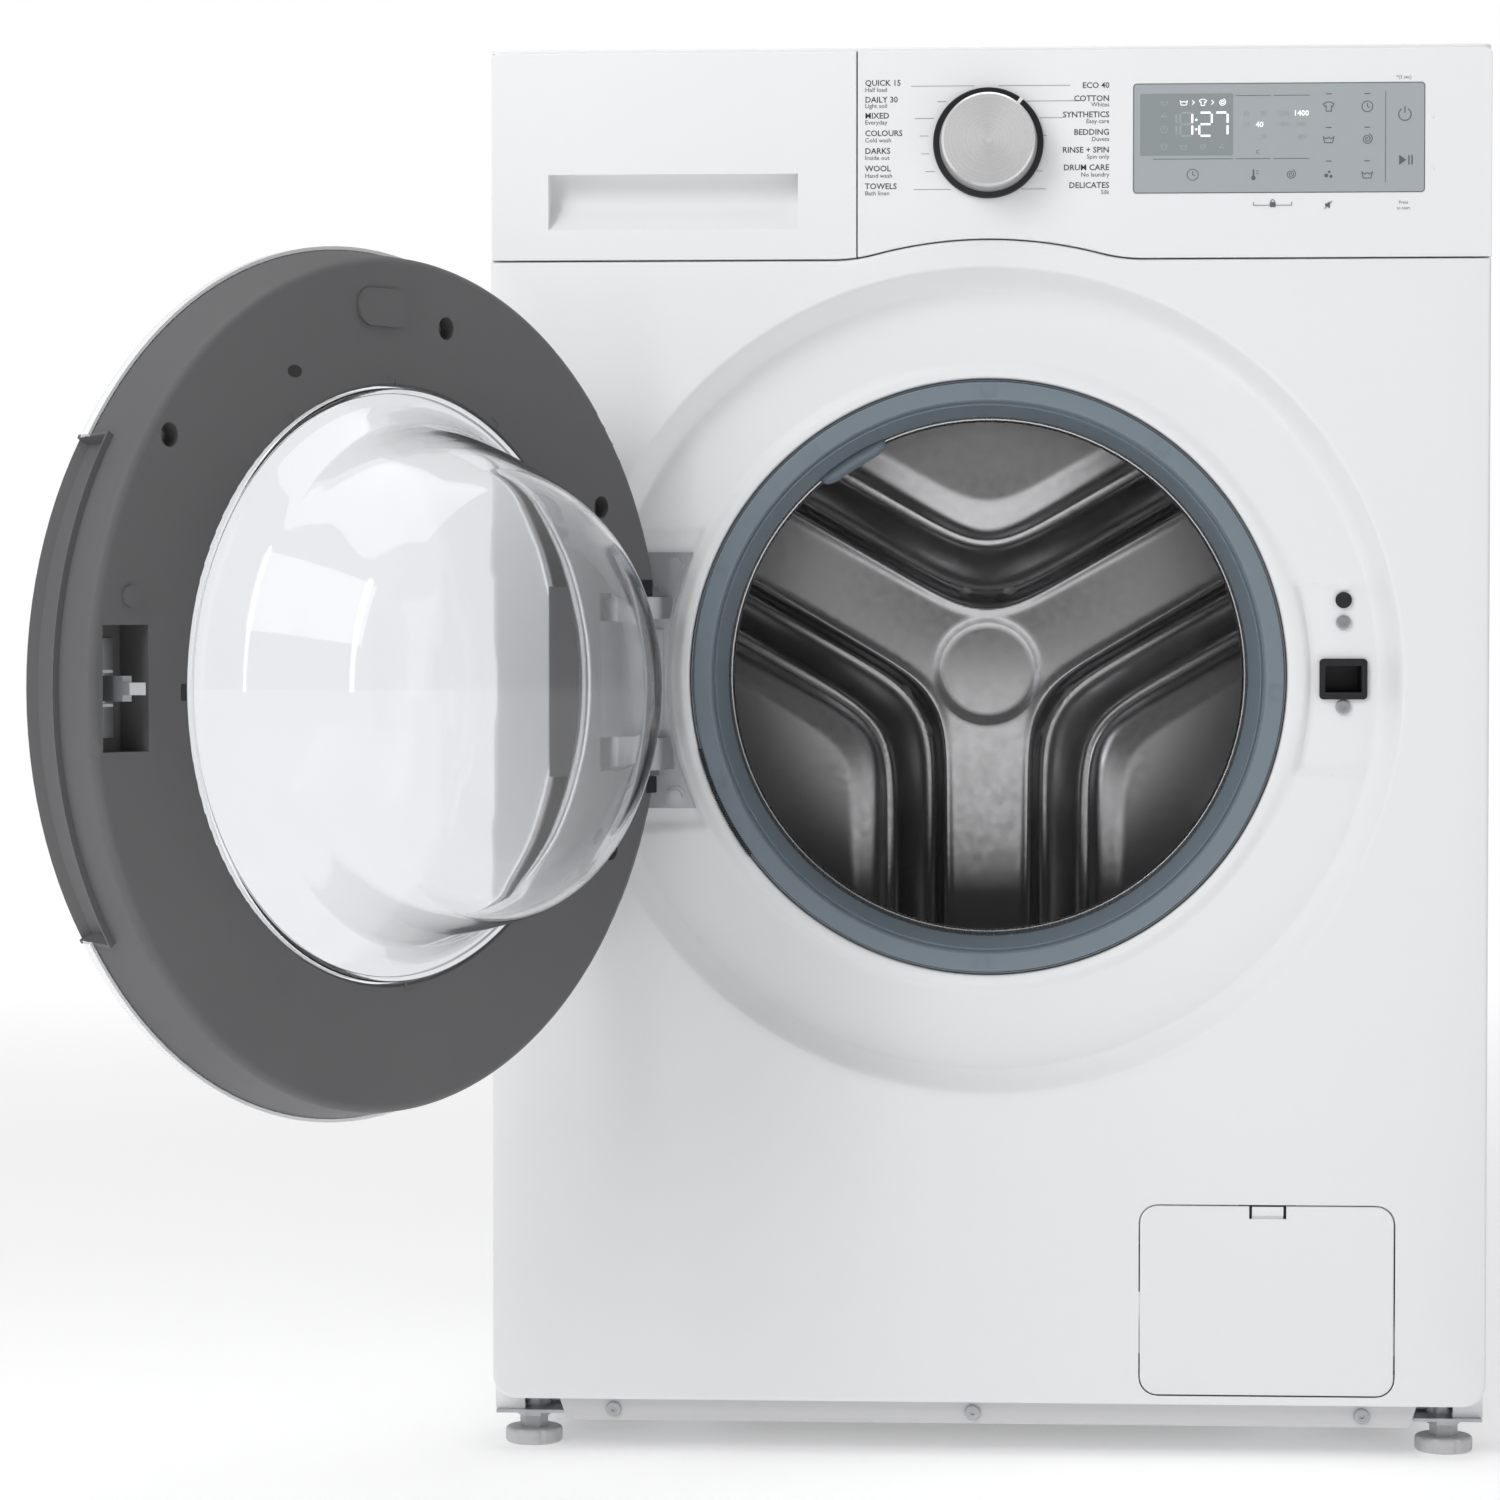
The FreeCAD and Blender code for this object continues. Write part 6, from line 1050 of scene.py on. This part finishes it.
def smallIcon(x, z, kind, size=2.6, line=0.42):
    # a few plain pictures: a shirt, a basin, a spiral, drops and a clock
    low, high = -0.12, 0.05
    u = size / 2.6
    if kind == "basin":
        bowlLine = [(x - 2.6 * u, z + 1.4 * u), (x - 1.9 * u, z - 1.8 * u), (x + 1.9 * u, z - 1.8 * u),
                    (x + 2.6 * u, z + 1.4 * u)]
        wave = np.linspace(-2.2, 2.2, 13)
        waves = np.stack([x + wave * u, z + (0.5 + 0.4 * np.cos(wave * 2.8)) * u], 1)
        return [stroke(bowlLine, line, low, high, onWindow), stroke(waves, line, low, high, onWindow)]
    if kind == "shirt":
        half = [(0.9, 2.2), (2.6, 1.3), (1.9, 0.1), (1.3, 0.4), (1.3, -2.2)]
        outline = [(x + a * u, z + b * u) for a, b in half] + [(x - a * u, z + b * u) for a, b in half[::-1]]
        return [stroke(outline, line, low, high, onWindow, True)]
    if kind == "spiral":
        turn = np.linspace(0, 4.4 * np.pi, 46)
        reach = size * (0.12 + 0.88 * turn / turn[-1])
        return [stroke(np.stack([x + reach * np.cos(turn), z + reach * np.sin(turn)], 1), line, low, high, onWindow)]
    if kind == "clock":
        return [ring(x, z, size, line, low, high),
                stroke([(x, z + size * 0.62), (x, z), (x + size * 0.45, z - size * 0.2)], line, low, high, onWindow)]
    if kind == "gauge":
        stem = [(x, z + size), (x, z - size * 0.3)]
        return [stroke(stem, line * 2.2, low, high, onWindow), dot(x, z - size * 0.7, size * 0.45),
                stroke([(x + 1.6, z + 2.0), (x + 3.0, z + 2.0)], line, low, high, onWindow),
                stroke([(x + 1.6, z + 0.6), (x + 3.0, z + 0.6)], line, low, high, onWindow)]
    if kind == "drops":
        return [dot(x - 1.1 * u, z - 0.5 * u, 0.95 * u), dot(x + 1.2 * u, z - 0.9 * u, 0.75 * u),
                dot(x + 0.3 * u, z + 1.3 * u, 0.6 * u)]
    return [ring(x, z, size * 0.8, line, low, high)]


def makeDisplayPrint():
    low, high = -0.12, 0.05
    x0, x1, z0, z1 = display["field"]
    rim = roundedRect(display["low"] + 0.4, display["high"] - 0.4, display["foot"] + 0.4, display["top"] - 0.4, 2.0)
    printPiece("displayField", [plate(roundedRect(x0, x1, z0, z1, 0.8), -0.06, 0.05, onWindow)], printShade)
    lit = [part for symbol, x in display["lit"] for part in digit(symbol, x, onWindow, low, high)]
    lit += [dot(x, z, 0.7) for x, z in display["colon"]]
    for x, kind in zip(display["icons"], ("basin", "shirt", "spiral")):
        lit += smallIcon(x, display["iconZ"], kind, 2.2, 0.4)
    for x in display["chevrons"]:
        lit.append(stroke([(x - 0.7, display["iconZ"] + 1.3), (x + 0.6, display["iconZ"]),
                           (x - 0.7, display["iconZ"] - 1.3)], 0.45, low, high, onWindow))
    lit += [written(words, 4.6, x, z, "CENTER", 0.05, windowDepth) for words, x, z in display["litNumbers"]]
    printPiece("displayLit", lit, printWhite)
    faint = [part for symbol, x in display["ghosts"] for part in digit(symbol, x, onWindow, -0.08, high)]
    for place, kind in zip(display["ghostIcons"], ("basin", "drops", "clock", "shirt", "basin", "spiral", "drops")):
        faint += smallIcon(*place, kind, 2.0, 0.4)
    faint += [written(words, 3.9, x, z, "CENTER", 0, windowDepth) for words, x, z in display["ghostNumbers"]]
    printPiece("displayFaint", faint, printFaint)
    dark = [stroke(rim, 0.35, -0.08, high, onWindow, True)]
    dark += [stroke([(a, z), (b, z)], 0.3, low, high, onWindow) for a, b, z in display["darkLines"]]
    a, b, c = display["divider"]
    dark.append(stroke([(a, b), (a, c)], 0.3, low, high, onWindow))
    dark += smallIcon(122.1, 772.5, "clock", 3.3) + smallIcon(158.3, 772.5, "gauge", 3.0)
    dark += smallIcon(180.6, 772.5, "spiral", 3.0)
    kinds = iter(("shirt", "basin", "drops", "clock", "spiral", "basin"))
    for x in display["columns"]:
        for z, bar in zip(display["columnZ"], display["columnBars"]):
            dark += smallIcon(x, z, next(kinds), 3.2, 0.5)
            dark.append(stroke([(x - 1.7, bar), (x + 1.7, bar)], 0.5, low, high, onWindow))
    dark += [ring(248.1, 807.8, 3.7, 0.6, low, high, 120, 420),
             stroke([(248.1, 812.6), (248.1, 808.6)], 0.6, low, high,
                                                                       onWindow)]
    dark.append(plate([(244.8, 783.7), (244.8, 777.7), (249.0, 780.7)], low, high, onWindow))
    dark += [stroke([(x, 777.9), (x, 783.5)], 0.8, low, high, onWindow) for x in (250.6, 252.4)]
    dark += [written("*(3 sec)", 2.9, 247.5, 830.1, "CENTER"), written("Press", 2.6, 247.5, 755.6, "CENTER"),
             written("to start", 2.6, 247.5, 752.2, "CENTER"), written("C", 3.2, 160.8, 786.0, "CENTER", 0,
                                                                       windowDepth)]
    bracket = [(158.4, 756.2), (158.4, 754.1), (181.1, 754.1), (181.1, 756.2)]
    dark += [stroke(bracket, 0.3, low, high, onWindow), ring(169.8, 756.3, 1.1, 0.4, low, high, 0, 180),
             plate(roundedRect(168.1, 171.5, 753.0, 756.0, 0.3), -0.16, high, onWindow)]
    dark += [plate([(201.0, 753.2), (202.2, 753.2), (203.8, 752.0), (203.8, 756.2), (202.2, 755.0), (201.0, 755.0)],
                   low, high, onWindow), stroke([(200.6, 751.7), (205.2, 756.5)], 0.35, low - 0.02, high, onWindow)]
    printPiece("displayPrint", dark, printGrey)
    printPiece("touchDots", [dot(264.4, 806.6, 0.9, -0.5), dot(264.4, 775.8, 0.9, -0.5)],
               finishes["white_plastic"])


makeDisplayPrint()
print("display print made")


# ---- floor, world and lights
def makeFloor():
    # a wide pale disc; far away it turns to the background's own brightness, so that no edge shows
    rows, cols = 24, 96
    reach = (np.linspace(0, 1, rows) ** 2.5 * 30.0)[:, None]
    turn = np.linspace(0, 2 * np.pi, cols, endpoint=False)[None, :]
    place = np.stack([reach * np.cos(turn), reach * np.sin(turn), 0 * reach * turn], -1)
    floor = tidyMesh(makeObject("floor", place, gridFaces(rows, cols, closeCols=True)))
    if floor.data.polygons[0].normal.z < 0:
        floor.data.flip_normals()
    material, tree, links, shader = newFinish("paleFloor", 0.0, Roughness=0.7)
    split = tree.new("ShaderNodeVectorMath")
    split.operation = "LENGTH"
    links.new(tree.new("ShaderNodeTexCoord").outputs["Object"], split.inputs[0])
    far = rangeNode(tree, links, split.outputs["Value"], 0.9, 3.2, 0.0, 1.0)
    links.new(mixColors(tree, links, far, (0.86, 0.86, 0.865, 1), (0.0, 0.0, 0.0, 1)), shader.inputs["Base Color"])
    links.new(mixColors(tree, links, far, (0.34, 0.34, 0.34, 1), (1.0, 1.0, 1.0, 1)),
              shader.inputs["Emission Color"])
    links.new(mixColors(tree, links, far, (0.5, 0.5, 0.5, 1), (0.0, 0.0, 0.0, 1)),
              shader.inputs["Specular IOR Level"])
    shader.inputs["Emission Strength"].default_value = 1.0
    floor.data.materials.append(material)


studio = {"back": 1.0, "fill": 0.37, "dark": 0.09, "lights": (
    ("keyLight", (-1.6, -2.4, 2.2), (0.0, -0.1, 0.5), (1.6, 1.6), 31.0, False),
    ("stripLight", (-1.1, -1.9, 1.3), (0.0, 0.0, 0.5), (0.22, 1.9), 6.0, True),
    ("fillLight", (2.0, -2.2, 1.2), (0.0, -0.1, 0.45), (1.2, 1.8), 3.0, True),
    ("topLight", (0.0, -0.3, 2.8), (0.0, 0.0, 0.5), (2.5, 2.0), 19.0, True))}


def makeWorld():
    # near white where it is looked at; as light it is grey, and darker straight in front of the machine
    world = bpy.data.worlds.new("studio")
    bpy.context.scene.world = world
    world.use_nodes = True
    tree, links = world.node_tree.nodes, world.node_tree.links
    split = tree.new("ShaderNodeSeparateXYZ")
    links.new(tree.new("ShaderNodeTexCoord").outputs["Generated"], split.inputs[0])
    ahead = rangeNode(tree, links, split.outputs["Y"], -0.98, -0.7, 0.0, 1.0)
    light = mixColors(tree, links, ahead, (studio["dark"],) * 3 + (1,), (studio["fill"],) * 3 + (1,))
    path = tree.new("ShaderNodeLightPath")
    seen = mathNode(tree, links, "MAXIMUM", path.outputs["Is Camera Ray"], path.outputs["Is Transmission Ray"])
    back = (studio["back"],) * 3 + (1,)
    links.new(mixColors(tree, links, seen, light, back), tree["Background"].inputs["Color"])


def makeLights():
    for name, place, target, size, power, mirrored in studio["lights"]:
        lamp = bpy.data.lights.new(name, "AREA")
        lamp.shape, lamp.size, lamp.size_y, lamp.energy = "RECTANGLE", size[0], size[1], power
        holder = bpy.data.objects.new(name, lamp)
        holder.location = place
        aim = Vector(target) - Vector(place)
        holder.rotation_euler = aim.to_track_quat("-Z", "Y").to_euler()
        holder.visible_glossy = mirrored
        bpy.context.scene.collection.objects.link(holder)


makeFloor()
makeWorld()
makeLights()
bpy.context.scene.view_settings.view_transform = "Standard"
print("floor, world and lights made")
